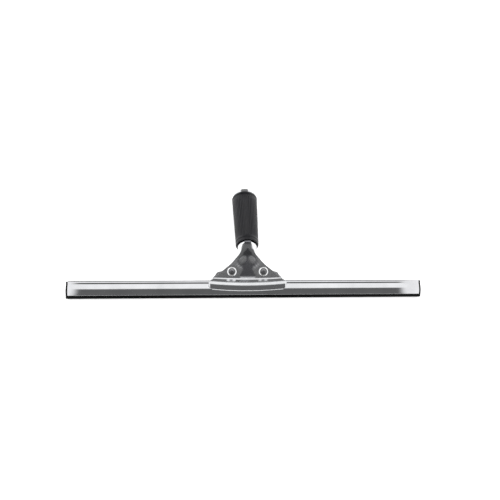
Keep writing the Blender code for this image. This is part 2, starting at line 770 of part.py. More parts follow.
def lay_on_table(shop):
    """Turn the frame to its rest angle, and put the middle of the box's base at the origin."""
    shop.frame.rotation_euler = (rest_angle(), 0.0, 0.0)
    bpy.context.view_layer.update()
    low, high = box_corners([obj for obj in shop.parts.objects if obj.type == "MESH"])
    middle = (low + high) / 2
    shop.frame.location = (-middle.x, -middle.y, -low.z)
    bpy.context.view_layer.update()


def main():
    clear_scene()
    shop = Workshop()
    make_rubber_blade(shop)
    make_channel(shop)
    make_handle_tube(shop)
    make_grip_sleeve(shop)
    make_front_clamp_plate(shop)
    make_rear_jaw_plate(shop)
    make_jaw_pad(shop, "front_jaw_pad", 1.0)
    make_jaw_pad(shop, "rear_jaw_pad", -1.0)
    for side, name in ((-1, "left"), (1, "right")):
        x = side * SCREW_SPACING / 2
        make_end_clip(shop, "end_clip_" + name, side)
        make_cup_washer(shop, "cup_washer_" + name, x)
        make_clamp_screw(shop, "clamp_screw_" + name, x)
        make_lock_washer(shop, "lock_washer_" + name, x)
        make_clamp_nut(shop, "clamp_nut_" + name, x)
    for name, height in RIVET_HEIGHTS.items():
        make_neck_rivet(shop, "neck_rivet_" + name, height)
    lay_on_table(shop)


main()
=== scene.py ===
"""The looks of a window cleaning squeegee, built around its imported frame.

Every piece is drawn in the blade's own frame and then carried to the table by one matrix: X runs along
the blade, Y up the blade from its working edge, Z out of the front of the jaw. The handle's pieces are
drawn along their own Z axis first. The frame's mounts and joints give where both frames stand.
"""

from __future__ import annotations

import json
import logging
import math
from dataclasses import dataclass
from enum import Enum
from typing import Callable, Sequence

import bmesh
import bpy
from mathutils import Matrix, Vector


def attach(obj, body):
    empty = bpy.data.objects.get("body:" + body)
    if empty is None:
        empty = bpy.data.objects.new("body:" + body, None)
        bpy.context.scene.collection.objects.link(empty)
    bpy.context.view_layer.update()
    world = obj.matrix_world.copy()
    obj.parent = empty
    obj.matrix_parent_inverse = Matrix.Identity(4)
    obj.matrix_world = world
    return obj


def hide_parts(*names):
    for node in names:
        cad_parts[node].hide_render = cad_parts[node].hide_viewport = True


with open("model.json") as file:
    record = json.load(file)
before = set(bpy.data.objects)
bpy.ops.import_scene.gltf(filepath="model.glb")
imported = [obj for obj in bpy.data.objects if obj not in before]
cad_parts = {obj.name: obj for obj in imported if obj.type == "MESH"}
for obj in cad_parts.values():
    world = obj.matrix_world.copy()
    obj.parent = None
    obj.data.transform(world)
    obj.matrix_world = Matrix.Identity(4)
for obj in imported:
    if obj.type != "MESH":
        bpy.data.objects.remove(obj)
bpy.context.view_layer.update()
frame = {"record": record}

MM = 0.001
CLEARANCE = 0.3 * MM
LOG = logging.getLogger("squeegee")
MIX_A, MIX_B, MIX_RESULT = 6, 7, 2  # a colour Mix node's sockets
MIX_FLOAT_A, MIX_FLOAT_B = 2, 3
PAPER_DROP = 0.2 * MM
MERGE_DISTANCE = 0.002 * MM
SMOOTH_ANGLE = math.radians(38.0)


class Body(Enum):
    """The moving bodies of the frame."""

    HANDLE = "handle"
    FRONT_JAW = "front_jaw"
    CHANNEL = "channel"
    BLADE = "blade"


class Slot(Enum):
    """The record's material slots."""

    POLISHED = "polished_steel"
    FORMED = "formed_steel"
    FASTENER = "plated_fasteners"
    GRIP = "grip_rubber"
    RUBBER = "blade_rubber"
    CLIP = "clip_plastic"


class Side(Enum):
    """Left and right along the blade, with the sign of X."""

    LEFT = -1
    RIGHT = 1

    @property
    def word(self) -> str:
        """The side's name, as nodes and bodies spell it."""
        return self.name.lower()


# ---------------------------------------------------------------- frames


def mount_named(name: str) -> dict:
    """Return the record's mount of this name.

    Args:
        name: The mount's name.

    Returns:
        The mount as the record gives it.
    """
    return next(m for m in frame["record"]["mounts"] if m["name"] == name)


def joint_named(name: str) -> dict:
    """Return the frame's joint of this name.

    Args:
        name: The joint's name.

    Returns:
        The joint as the record gives it.
    """
    return next(j for j in frame["record"]["behaviour"]["joints"] if j["name"] == name)


def blade_matrix() -> Matrix:
    """Return the matrix from the blade's own frame to the world."""
    edge = mount_named("blade_edge")
    up = -Vector(edge["axis"])
    front = Vector(joint_named("left_washer_lift")["axis"])
    return Matrix(
        (
            (1.0, up.x, front.x, edge["pos_m"][0]),
            (0.0, up.y, front.y, edge["pos_m"][1]),
            (0.0, up.z, front.z, edge["pos_m"][2]),
            (0.0, 0.0, 0.0, 1.0),
        )
    )


# ---------------------------------------------------------------- sizes shared by several pieces


@dataclass(frozen=True)
class BladeSizes:
    """The channel's and the rubber's sizes, in metres."""

    length: float = 445.4 * MM
    exposed: float = 4.0 * MM
    height: float = 18.5 * MM
    sheet: float = 0.8 * MM
    half_depth: float = 4.3 * MM
    sagitta: float = 1.5 * MM
    roll_radius: float = 2.9 * MM
    bead_height: float = 6.7 * MM
    bead_radius: float = 2.9 * MM
    rubber: float = 2.4 * MM

    @property
    def top(self) -> float:
        """The channel's top."""
        return self.exposed + self.height

    @property
    def bead(self) -> float:
        """The height of the bead's middle."""
        return self.exposed + self.bead_height

    @property
    def roll(self) -> float:
        """The height of the top roll's middle."""
        return self.top - self.roll_radius

    def bulge(self, y: float) -> float:
        """Return half the channel's depth at this height, below its top roll."""
        rise = self.bead - self.exposed
        radius = (rise**2 + self.sagitta**2) / (2 * self.sagitta)
        return self.half_depth - radius + math.sqrt(radius**2 - (y - self.bead) ** 2)

    def roll_depth(self, y: float) -> float:
        """Return half the top roll's depth at this height."""
        return math.sqrt(max(self.roll_radius**2 - (y - self.roll) ** 2, 0.0))

    def crease(self) -> float:
        """Return the height at which the bulge meets the top roll."""
        low, high = self.bead, self.roll
        for _ in range(40):
            middle = (low + high) / 2
            if self.bulge(middle) > self.roll_depth(middle):
                low = middle
            else:
                high = middle
        return low


@dataclass(frozen=True)
class ClampSizes:
    """The jaw's and its fasteners' sizes, in metres."""

    tongue: float = 2.4 * MM
    front_sheet: float = 1.2 * MM
    rear_sheet: float = 1.5 * MM
    half_length: float = 49.0 * MM
    swell: float = 2.5 * MM
    end_round: float = 2.4 * MM
    cap_middle: float = -4.8 * MM
    cap_radius: float = 6.1 * MM
    bow: float = 2.5 * MM
    screw_half_spacing: float = 20.0 * MM
    screw_height: float = 10.6 * MM
    shank: float = 2.5 * MM
    head: float = 4.0 * MM
    cup: float = 6.0 * MM
    cup_height: float = 2.8 * MM
    cup_floor: float = 0.8 * MM
    rivet: float = 2.0 * MM
    rivet_heights: tuple[float, float] = (16.6 * MM, 25.0 * MM)

    @property
    def front_plane(self) -> float:
        """The middle of the front sheet."""
        return self.tongue / 2 + CLEARANCE + self.front_sheet / 2

    @property
    def rear_plane(self) -> float:
        """The middle of the rear sheet."""
        return self.tongue / 2 + CLEARANCE + self.rear_sheet / 2

    @property
    def cup_seat(self) -> float:
        """The underside of the cup washers."""
        return self.front_plane + self.front_sheet / 2 + CLEARANCE

    @property
    def washer_top(self) -> float:
        """The depth of the lock washers behind the blade's plane."""
        return self.rear_plane + self.rear_sheet / 2 + CLEARANCE


@dataclass(frozen=True)
class HandleSizes:
    """The tube's and the grip's sizes, in metres and radians."""

    bend: float = math.radians(32.0)
    bend_height: float = 40.6 * MM
    length: float = 88.0 * MM
    radius: float = 12.2 * MM
    end_radius: float = 14.9 * MM
    wall: float = 1.2 * MM
    socket_start: float = 14.0 * MM
    flat: float = 2.5 * MM
    tongue_half_width: float = 6.5 * MM
    tip_place: float = 8.0 * MM
    grip_start: float = 4.0 * MM
    grip_length: float = 78.0 * MM
    grip_wall: float = 1.6 * MM
    collar_rise: float = 0.5 * MM
    collar_length: float = 6.0 * MM
    ribs: int = 44
    rib_depth: float = 0.55 * MM
    rib_rise: float = 0.3 * MM
    edge_round: float = 0.35 * MM

    def tube(self, along: float) -> float:
        """Return the tube's outer radius at this distance from the bend."""
        return self.radius + (self.end_radius - self.radius) * along / self.length

    @property
    def along(self) -> Vector:
        """The handle's direction in the blade's frame."""
        return Vector((0.0, math.cos(self.bend), -math.sin(self.bend)))

    @property
    def front(self) -> Vector:
        """The handle's front side in the blade's frame."""
        return Vector((0.0, math.sin(self.bend), math.cos(self.bend)))

    @property
    def bend_point(self) -> Vector:
        """The point where the handle leaves the blade's plane."""
        return Vector((0.0, BLADE.top + self.bend_height, 0.0))

    def point(self, along: float, out: float) -> Vector:
        """Return a point of the handle's middle plane in the blade's frame."""
        return self.bend_point + along * self.along + out * self.front

    def matrix(self) -> Matrix:
        """Return the matrix from the handle's own frame, Z along the tube, to the blade's frame."""
        columns = (Vector((1.0, 0.0, 0.0)), -self.front, self.along)
        turn = Matrix(columns).transposed().to_4x4()
        return Matrix.Translation(self.bend_point) @ turn


BLADE = BladeSizes()
CLAMP = ClampSizes()
HANDLE = HandleSizes()
TO_WORLD = blade_matrix()


# ---------------------------------------------------------------- finishes


class Shader:
    """A node material under construction: a Principled shader with helpers for noise, colour and bump."""

    def __init__(self, name: str) -> None:
        """Start a material of this name."""
        self.material = bpy.data.materials.new(name)
        self.material.use_nodes = True
        self.tree = self.material.node_tree
        self.principled = self.tree.nodes["Principled BSDF"]
        self.coordinates = self.node("ShaderNodeTexCoord").outputs["Object"]

    def node(self, kind: str, **settings: object) -> bpy.types.Node:
        """Add a node of this kind with these settings."""
        made = self.tree.nodes.new(kind)
        for key, value in settings.items():
            setattr(made, key, value)
        return made

    def link(self, output: bpy.types.NodeSocket, target: bpy.types.NodeSocket) -> None:
        """Join two sockets."""
        self.tree.links.new(output, target)

    def set(self, **values: object) -> None:
        """Set the Principled shader's own sockets, spelt with underscores for spaces."""
        for key, value in values.items():
            self.principled.inputs[key.replace("_", " ")].default_value = value

    def stretched(self, scale: Sequence[float], turn: float = 0.0) -> bpy.types.NodeSocket:
        """Return the object's coordinates turned about X and stretched by these factors."""
        mapping = self.node("ShaderNodeMapping")
        mapping.inputs["Rotation"].default_value = (turn, 0.0, 0.0)
        mapping.inputs["Scale"].default_value = scale
        self.link(self.coordinates, mapping.inputs["Vector"])
        return mapping.outputs["Vector"]

    def noise(
        self, scale: float, stretch: Sequence[float] = (1.0, 1.0, 1.0), detail: float = 3.0
    ) -> bpy.types.NodeSocket:
        """Return a noise value on the object's coordinates.

        Args:
            scale: Features per metre.
            stretch: Factors by which each axis is stretched.
            detail: The noise's octaves.

        Returns:
            The noise's value socket.
        """
        noise = self.node("ShaderNodeTexNoise")
        noise.inputs["Scale"].default_value = scale
        noise.inputs["Detail"].default_value = detail
        self.link(self.stretched(stretch), noise.inputs["Vector"])
        return noise.outputs["Fac"]

    def ranged(
        self, value: bpy.types.NodeSocket, low: float, high: float, start: float = 0.3, end: float = 0.7
    ) -> bpy.types.NodeSocket:
        """Return a value mapped from start..end to low..high."""
        mapped = self.node("ShaderNodeMapRange")
        for key, number in (("From Min", start), ("From Max", end), ("To Min", low), ("To Max", high)):
            mapped.inputs[key].default_value = number
        self.link(value, mapped.inputs["Value"])
        return mapped.outputs["Result"]

    def mixed(
        self, factor: bpy.types.NodeSocket, first: Sequence[float], second: Sequence[float]
    ) -> bpy.types.NodeSocket:
        """Return a colour between two colours by this factor."""
        mix = self.node("ShaderNodeMix", data_type="RGBA")
        mix.inputs[MIX_A].default_value = (*first, 1.0)
        mix.inputs[MIX_B].default_value = (*second, 1.0)
        self.link(factor, mix.inputs["Factor"])
        return mix.outputs[MIX_RESULT]

    def bump(
        self,
        height: bpy.types.NodeSocket,
        distance: float,
        strength: float,
        under: bpy.types.NodeSocket | None = None,
    ) -> bpy.types.NodeSocket:
        """Return a bumped normal, laid over an earlier one if it is given."""
        bump = self.node("ShaderNodeBump")
        bump.inputs["Distance"].default_value = distance
        bump.inputs["Strength"].default_value = strength
        self.link(height, bump.inputs["Height"])
        if under is not None:
            self.link(under, bump.inputs["Normal"])
        return bump.outputs["Normal"]

    def feed(self, socket: str, value: bpy.types.NodeSocket) -> None:
        """Feed one of the Principled shader's sockets."""
        self.link(value, self.principled.inputs[socket])


@dataclass(frozen=True)
class SteelFinish:
    """Bright steel with a drawn grain, faint smudges and, on pressed sheet, a slight waviness."""

    name: str
    colour: tuple[float, float, float]
    roughness: tuple[float, float]
    grain: tuple[float, float, float]
    grain_strength: float = 0.05
    wave_strength: float = 0.0
    # relief: the sheet takes painted shade and a duller finish where its 'recess' attribute is set
    relief: bool = False
    # The painted shade's colour, multiplied into the marked recess and neck
    recess_painted_shade: tuple[float, float, float] = (0.27, 0.27, 0.285)
    recess_dulling: float = 0.10

    def material(self) -> bpy.types.Material:
        """Return the finished material."""
        shader = Shader(self.name)
        shader.set(Metallic=1.0)
        grain = shader.noise(2400.0, self.grain, 4.0)
        smudge = shader.noise(38.0, (1.0, 1.0, 1.0), 5.0)
        shade = tuple(0.86 * c for c in self.colour)
        colour = shader.mixed(shader.ranged(smudge, 0.0, 1.0), self.colour, shade)
        low, high = self.roughness
        rough = shader.ranged(smudge, low, high)
        if self.relief:
            colour, rough = self.pressed(shader, colour, rough)
        shader.feed("Base Color", colour)
        shader.feed("Roughness", rough)
        normal = shader.bump(grain, 0.02 * MM, self.grain_strength)
        if self.wave_strength:
            wave = shader.noise(14.0, (1.0, 3.0, 3.0), 2.0)
            normal = shader.bump(wave, 1.2 * MM, self.wave_strength, normal)
        shader.feed("Normal", normal)
        return shader.material

    def pressed(
        self, shader: Shader, colour: bpy.types.NodeSocket, rough: bpy.types.NodeSocket
    ) -> tuple[bpy.types.NodeSocket, bpy.types.NodeSocket]:
        """Paint shade into the sheet where its 'recess' attribute is set, in the pressed recess and over
        the tongue from its neck up, and dull its finish there.

        Args:
            shader: The material under construction.
            colour: The sheet's colour.
            rough: The sheet's roughness.

        Returns:
            The colour with the painted shade multiplied in, and the roughness with the dulling added.
        """
        depth = shader.node("ShaderNodeAttribute", attribute_name="recess").outputs["Fac"]
        # Painted shade: the colour is multiplied down by the attribute, standing in for the dark reflection
        # of the recess and the neck; the roughness is raised there too
        painted_shade_mix = shader.node("ShaderNodeMix", data_type="RGBA", blend_type="MULTIPLY")
        shader.link(shader.ranged(depth, 0.0, 1.0, 0.0, 1.0), painted_shade_mix.inputs["Factor"])
        shader.link(colour, painted_shade_mix.inputs[MIX_A])
        painted_shade_mix.inputs[MIX_B].default_value = (*self.recess_painted_shade, 1.0)
        duller = shader.node("ShaderNodeMath", operation="MULTIPLY_ADD")
        shader.link(depth, duller.inputs[0])
        duller.inputs[1].default_value = self.recess_dulling
        shader.link(rough, duller.inputs[2])
        return painted_shade_mix.outputs[MIX_RESULT], duller.outputs[0]


@dataclass(frozen=True)
class RubberFinish:
    """Moulded rubber or plastic: near black, with a fine tooth and patches rubbed smoother."""

    name: str
    colour: tuple[float, float, float]
    roughness: tuple[float, float]
    tooth: float
    tooth_strength: float
    specular: float = 0.5

    def material(self) -> bpy.types.Material:
        """Return the finished material."""
        shader = Shader(self.name)
        shader.set(Specular_IOR_Level=self.specular)
        rubbed = shader.noise(60.0, (1.0, 1.0, 1.0), 4.0)
        dusty = tuple(1.7 * c + 0.0004 for c in self.colour)
        shader.feed("Base Color", shader.mixed(shader.ranged(rubbed, 0.0, 1.0), self.colour, dusty))
        shader.feed("Roughness", shader.ranged(rubbed, *self.roughness))
        tooth = shader.noise(self.tooth, (1.0, 1.0, 1.0), 2.0)
        shader.feed("Normal", shader.bump(tooth, 0.05 * MM, self.tooth_strength))
        return shader.material


class Finishes:
    """Every finish of the tool, made once."""

    def __init__(self) -> None:
        """Make the materials."""
        along = (0.02, 1.0, 1.0)
        self.channel = SteelFinish(
            "drawn_channel_steel", (0.62, 0.625, 0.64), (0.06, 0.11), along, 0.06, 0.10
        ).material()
        # The pressed plate takes painted shade in its recess and over its neck, by its 'recess' attribute
        self.plate = SteelFinish(
            "pressed_plate_steel", (0.62, 0.625, 0.64), (0.13, 0.20), (1.0, 0.05, 0.05), 0.08, 0.05, True
        ).material()
        self.rear = SteelFinish(
            "rear_sheet_steel", (0.58, 0.585, 0.60), (0.18, 0.27), (1.0, 0.05, 0.05), 0.1, 0.05
        ).material()
        self.tube = SteelFinish(
            "polished_tube_steel", (0.75, 0.755, 0.765), (0.07, 0.13), (1.0, 0.04, 1.0), 0.04
        ).material()
        self.cup = SteelFinish(
            "bright_cup_steel", (0.84, 0.845, 0.85), (0.06, 0.12), (1.0, 1.0, 1.0), 0.03
        ).material()
        self.fastener = SteelFinish(
            "plated_fastener_steel", (0.52, 0.53, 0.55), (0.2, 0.32), (1.0, 1.0, 1.0), 0.12
        ).material()
        self.screw = SteelFinish(
            "screw_steel", (0.24, 0.24, 0.25), (0.24, 0.34), (1.0, 1.0, 1.0), 0.12
        ).material()
        self.grip = RubberFinish(
            "ribbed_grip_rubber", (0.007, 0.007, 0.009), (0.30, 0.42), 2600.0, 0.2, 0.34
        ).material()
        self.blade = RubberFinish(
            "blade_rubber", (0.0015, 0.0015, 0.0015), (0.42, 0.55), 1800.0, 0.12, 0.10
        ).material()
        self.clip = RubberFinish(
            "clip_plastic", (0.002, 0.002, 0.002), (0.34, 0.46), 2200.0, 0.2, 0.15
        ).material()


# ---------------------------------------------------------------- making pieces


def smooth_through(points: Sequence[Sequence[float]], steps: int) -> list[Vector]:
    """Return points on a smooth line through the given ones.

    Args:
        points: The points to pass through, of any dimension.
        steps: The number of steps between each two points.

    Returns:
        The finer line, ends included.
    """
    through = [Vector(p) for p in points]
    padded = [2 * through[0] - through[1], *through, 2 * through[-1] - through[-2]]
    line = []
    for before, start, end, after in zip(padded, padded[1:], padded[2:], padded[3:]):
        for i in range(steps):
            t = i / steps
            bend = (2 * before - 5 * start + 4 * end - after) * t**2
            twist = (3 * start - before - 3 * end + after) * t**3
            line.append(0.5 * (2 * start + (end - before) * t + bend + twist))
    return [*line, through[-1]]


def smooth_step(value: float, low: float, high: float) -> float:
    """Return 0 below low and 1 above high, with a soft step between."""
    t = min(max((value - low) / (high - low), 0.0), 1.0)
    return t * t * (3.0 - 2.0 * t)


def section_line(bm: bmesh.types.BMesh, points: Sequence[Sequence[float]], closed: bool) -> list:
    """Draw a line of edges through these points.

    Args:
        bm: The mesh to draw in.
        points: The points, in order.
        closed: Whether the last point joins the first.

    Returns:
        The edges.
    """
    verts = [bm.verts.new(p) for p in points]
    pairs = list(zip(verts, verts[1:]))
    if closed:
        pairs.append((verts[-1], verts[0]))
    return [bm.edges.new(pair) for pair in pairs]


def turned(profile: Sequence[Sequence[float]], steps: int, closed: bool = False) -> bmesh.types.BMesh:
    """Return a turned shape about Z.

    Args:
        profile: Points of (radius, height).
        steps: The number of steps round.
        closed: Whether the profile is a loop clear of the axis.

    Returns:
        The mesh, with its doubles merged.
    """
    bm = bmesh.new()
    edges = section_line(bm, [(r, 0.0, z) for r, z in profile], closed)
    bmesh.ops.spin(
        bm,
        geom=[*bm.verts, *edges],
        axis=(0.0, 0.0, 1.0),
        cent=(0.0, 0.0, 0.0),
        angle=2 * math.pi,
        steps=steps,
        use_merge=True,
    )
    bmesh.ops.remove_doubles(bm, verts=bm.verts, dist=1e-7)
    return bm


def bar(section: Sequence[Sequence[float]], half_length: float, middle: float = 0.0) -> bmesh.types.BMesh:
    """Return a bar along X.

    Args:
        section: The closed section as (y, z) points.
        half_length: Half the bar's length.
        middle: The X of the bar's middle.

    Returns:
        The mesh.
    """
    bm = bmesh.new()
    verts = [bm.verts.new((middle - half_length, y, z)) for y, z in section]
    made = bmesh.ops.extrude_face_region(bm, geom=[bm.faces.new(verts)])
    moved = [g for g in made["geom"] if isinstance(g, bmesh.types.BMVert)]
    bmesh.ops.translate(bm, verts=moved, vec=(2 * half_length, 0.0, 0.0))
    return bm


def soften(bm: bmesh.types.BMesh, width: float, segments: int = 2, over: float = 30.0) -> None:
    """Bevel every edge that is sharper than this angle.

    Args:
        bm: The mesh.
        width: The bevel's width.
        segments: The bevel's segments.
        over: The angle in degrees.
    """
    bmesh.ops.recalc_face_normals(bm, faces=bm.faces)
    limit = math.radians(over)
    sharp = [e for e in bm.edges if e.is_manifold and e.calc_face_angle() > limit]
    bmesh.ops.bevel(
        bm,
        geom=sharp,
        offset=width,
        offset_type="OFFSET",
        affect="EDGES",
        segments=segments,
        profile=0.5,
        material=-1,
        clamp_overlap=True,
    )


def linked(bm: bmesh.types.BMesh, name: str) -> bpy.types.Object:
    """Return a smooth-shaded object in the scene that takes this mesh, which is used up."""
    mesh = bpy.data.meshes.new(name)
    bm.to_mesh(mesh)
    bm.free()
    mesh.shade_smooth()
    obj = bpy.data.objects.new(name, mesh)
    bpy.context.scene.collection.objects.link(obj)
    return obj


def to_object(bm: bmesh.types.BMesh, name: str, place: Matrix | None = None) -> bpy.types.Object:
    """Make an object of a mesh drawn in the blade's frame, or in one that place carries there.

    Args:
        bm: The mesh, which is used up.
        name: The object's name.
        place: The matrix from the drawing's frame to the blade's.

    Returns:
        The object, linked to the scene, with its place in its mesh.
    """
    bmesh.ops.recalc_face_normals(bm, faces=bm.faces)
    bmesh.ops.transform(bm, matrix=TO_WORLD @ (place or Matrix()), verts=bm.verts)
    return linked(bm, name)


def carve(piece: bpy.types.Object, tool: bpy.types.Object, operation: str = "DIFFERENCE") -> None:
    """Cut a piece with a tool, which is used up.

    Args:
        piece: The piece to cut.
        tool: The closed tool.
        operation: The Boolean operation.
    """
    cut = piece.modifiers.new("cut", "BOOLEAN")
    cut.operation = operation
    cut.solver = "MANIFOLD"
    cut.object = tool
    graph = bpy.context.evaluated_depsgraph_get()
    carved = bpy.data.meshes.new_from_object(piece.evaluated_get(graph))
    piece.modifiers.remove(cut)
    bm = bmesh.new()
    bm.from_mesh(carved)
    bmesh.ops.remove_doubles(bm, verts=bm.verts, dist=MERGE_DISTANCE)
    bmesh.ops.dissolve_degenerate(bm, dist=MERGE_DISTANCE, edges=bm.edges)
    bm.to_mesh(carved)
    bm.free()
    old = piece.data
    piece.data = carved
    bpy.data.meshes.remove(old)
    bpy.data.objects.remove(tool, do_unlink=True)


def dress(
    piece: bpy.types.Object, material: bpy.types.Material, body: str, node: str
) -> bpy.types.Object:
    """Give a piece its finish, its body and the CAD node that it stands for.

    Args:
        piece: The piece.
        material: Its finish.
        body: The body that it rides on.
        node: The CAD node that it replaces.

    Returns:
        The piece.
    """
    piece.data.materials.clear()
    piece.data.materials.append(material)
    piece.data.set_sharp_from_angle(angle=SMOOTH_ANGLE)
    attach(piece, body)
    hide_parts(node)
    LOG.info("%s on %s: %d faces", piece.name, body, len(piece.data.polygons))
    return piece


# ---------------------------------------------------------------- blade and channel


@dataclass
class WipingBlade:
    """The rubber strip, the channel that holds it and the two end clips."""

    finishes: Finishes
    sizes: BladeSizes = BLADE
    clip_thickness: float = 2.0 * MM
    clip_inset: float = 0.25 * MM
    prong_length: float = 8.0 * MM
    prong_half_width: float = 0.55 * MM

    def build(self) -> None:
        """Build the rubber, the channel and the clips."""
        self.rubber()
        self.channel()
        for side in Side:
            self.clip(side)

    def rubber(self) -> None:
        """The rubber strip: a square-edged blade, a fine ridge each side under the lips, and the bead."""
        half = self.sizes.rubber / 2
        neck = math.asin(half / self.sizes.bead_radius)
        turn = math.pi - neck
        bead = []
        for i in range(41):
            angle = turn - 2 * turn * i / 40
            y = self.sizes.bead + self.sizes.bead_radius * math.cos(angle)
            bead.append((y, self.sizes.bead_radius * math.sin(angle)))
        low = [(0.0, half), (3.4 * MM, half), (3.7 * MM, half + 0.12 * MM), (4.0 * MM, half)]
        section = [*low, *bead, *[(y, -z) for y, z in reversed(low)]]
        bm = bar(section, self.sizes.length / 2)
        soften(bm, 0.12 * MM, 2, 50.0)
        piece = to_object(bm, "rubber_strip")
        dress(piece, self.finishes.blade, Body.BLADE.value, "rubber_blade")

    def outline(self) -> list[tuple[float, float]]:
        """Return the channel's outer line from its front lip over the top roll to its rear lip."""
        size = self.sizes
        crease = size.crease()
        steps = 28
        rise = (crease - size.exposed) / steps
        front = [(size.exposed + i * rise, size.bulge(size.exposed + i * rise)) for i in range(steps + 1)]
        open_angle = math.atan2(size.roll_depth(crease), crease - size.roll)
        roll = []
        for i in range(1, 40):
            angle = open_angle * (1.0 - i / 20)
            y = size.roll + size.roll_radius * math.cos(angle)
            roll.append((y, size.roll_radius * math.sin(angle)))
        return front + roll + [(y, -z) for y, z in reversed(front)]

    def channel(self) -> None:
        """The folded channel: a ribbon along X with its sheet thickness inside it and rounded lips."""
        bm = bmesh.new()
        points = [(-self.sizes.length / 2, y, z) for y, z in self.outline()]
        edges = section_line(bm, points, closed=False)
        spans = 12
        for _ in range(spans):
            made = bmesh.ops.extrude_edge_only(bm, edges=edges)["geom"]
            edges = [g for g in made if isinstance(g, bmesh.types.BMEdge)]
            verts = [g for g in made if isinstance(g, bmesh.types.BMVert)]
            bmesh.ops.translate(bm, verts=verts, vec=(self.sizes.length / spans, 0.0, 0.0))
            edges = [e for e in edges if all(v in verts for v in e.verts)]
        bmesh.ops.recalc_face_normals(bm, faces=bm.faces)
        top = max(bm.faces, key=lambda face: face.calc_center_median().y)
        if top.normal.y < 0:
            bmesh.ops.reverse_faces(bm, faces=bm.faces)
        bmesh.ops.transform(bm, matrix=TO_WORLD, verts=bm.verts)
        piece = linked(bm, "blade_channel")
        add_sheet(piece, self.sizes.sheet, -1.0, 0.07 * MM)
        dress(piece, self.finishes.channel, Body.CHANNEL.value, "channel")

    def clip(self, side: Side) -> None:
        """A moulded end clip: a rounded plate the channel's shape, with a prong inside.

        Args:
            side: The end that it closes.
        """
        size = self.sizes
        inset = self.clip_inset
        crease = size.crease()
        top = size.top - size.roll_radius / 3
        half = [
            (inset, size.rubber / 2 - inset),
            (size.exposed, size.bulge(size.exposed) - inset),
            (size.bead, size.half_depth - inset),
            (crease, size.bulge(crease) - inset),
            (size.roll, size.roll_radius - inset),
            (top, size.roll_depth(top) - inset),
        ]
        half = [tuple(p) for p in smooth_through(half, 3)]
        inner = size.length / 2 + CLEARANCE
        middle = side.value * (inner + self.clip_thickness / 2)
        bm = bar(half + [(y, -z) for y, z in reversed(half)], self.clip_thickness / 2, middle)
        soften(bm, 0.35 * MM, 3, 50.0)
        piece = to_object(bm, f"end_cap_{side.word}")
        low = size.bead + size.bead_radius + 2 * CLEARANCE
        high = size.top - size.sheet - 2 * CLEARANCE
        width = self.prong_half_width
        reach = self.prong_length + self.clip_thickness / 2
        corners = [(low, width), (high, width), (high, -width), (low, -width)]
        prong = bar(corners, reach / 2, side.value * (inner + self.clip_thickness / 2 - reach / 2))
        carve(piece, to_object(prong, "prong"), "UNION")
        body = f"{side.word}_end_clip"
        dress(piece, self.finishes.clip, body, f"end_clip_{side.word}")


def add_sheet(piece: bpy.types.Object, thickness: float, offset: float, edge: float) -> None:
    """Give a surface its sheet thickness and rounded edges.

    Args:
        piece: The surface.
        thickness: The sheet's thickness.
        offset: Which side of the surface it lies on, from -1 to 1.
        edge: The width of the rounding on its edges.
    """
    sheet = piece.modifiers.new("sheet", "SOLIDIFY")
    sheet.thickness = thickness
    sheet.offset = offset
    sheet.use_even_offset = True
    rounding = piece.modifiers.new("edge", "BEVEL")
    rounding.width = edge
    rounding.segments = 2
    rounding.limit_method = "ANGLE"
    rounding.angle_limit = math.radians(50.0)


# ---------------------------------------------------------------- handle


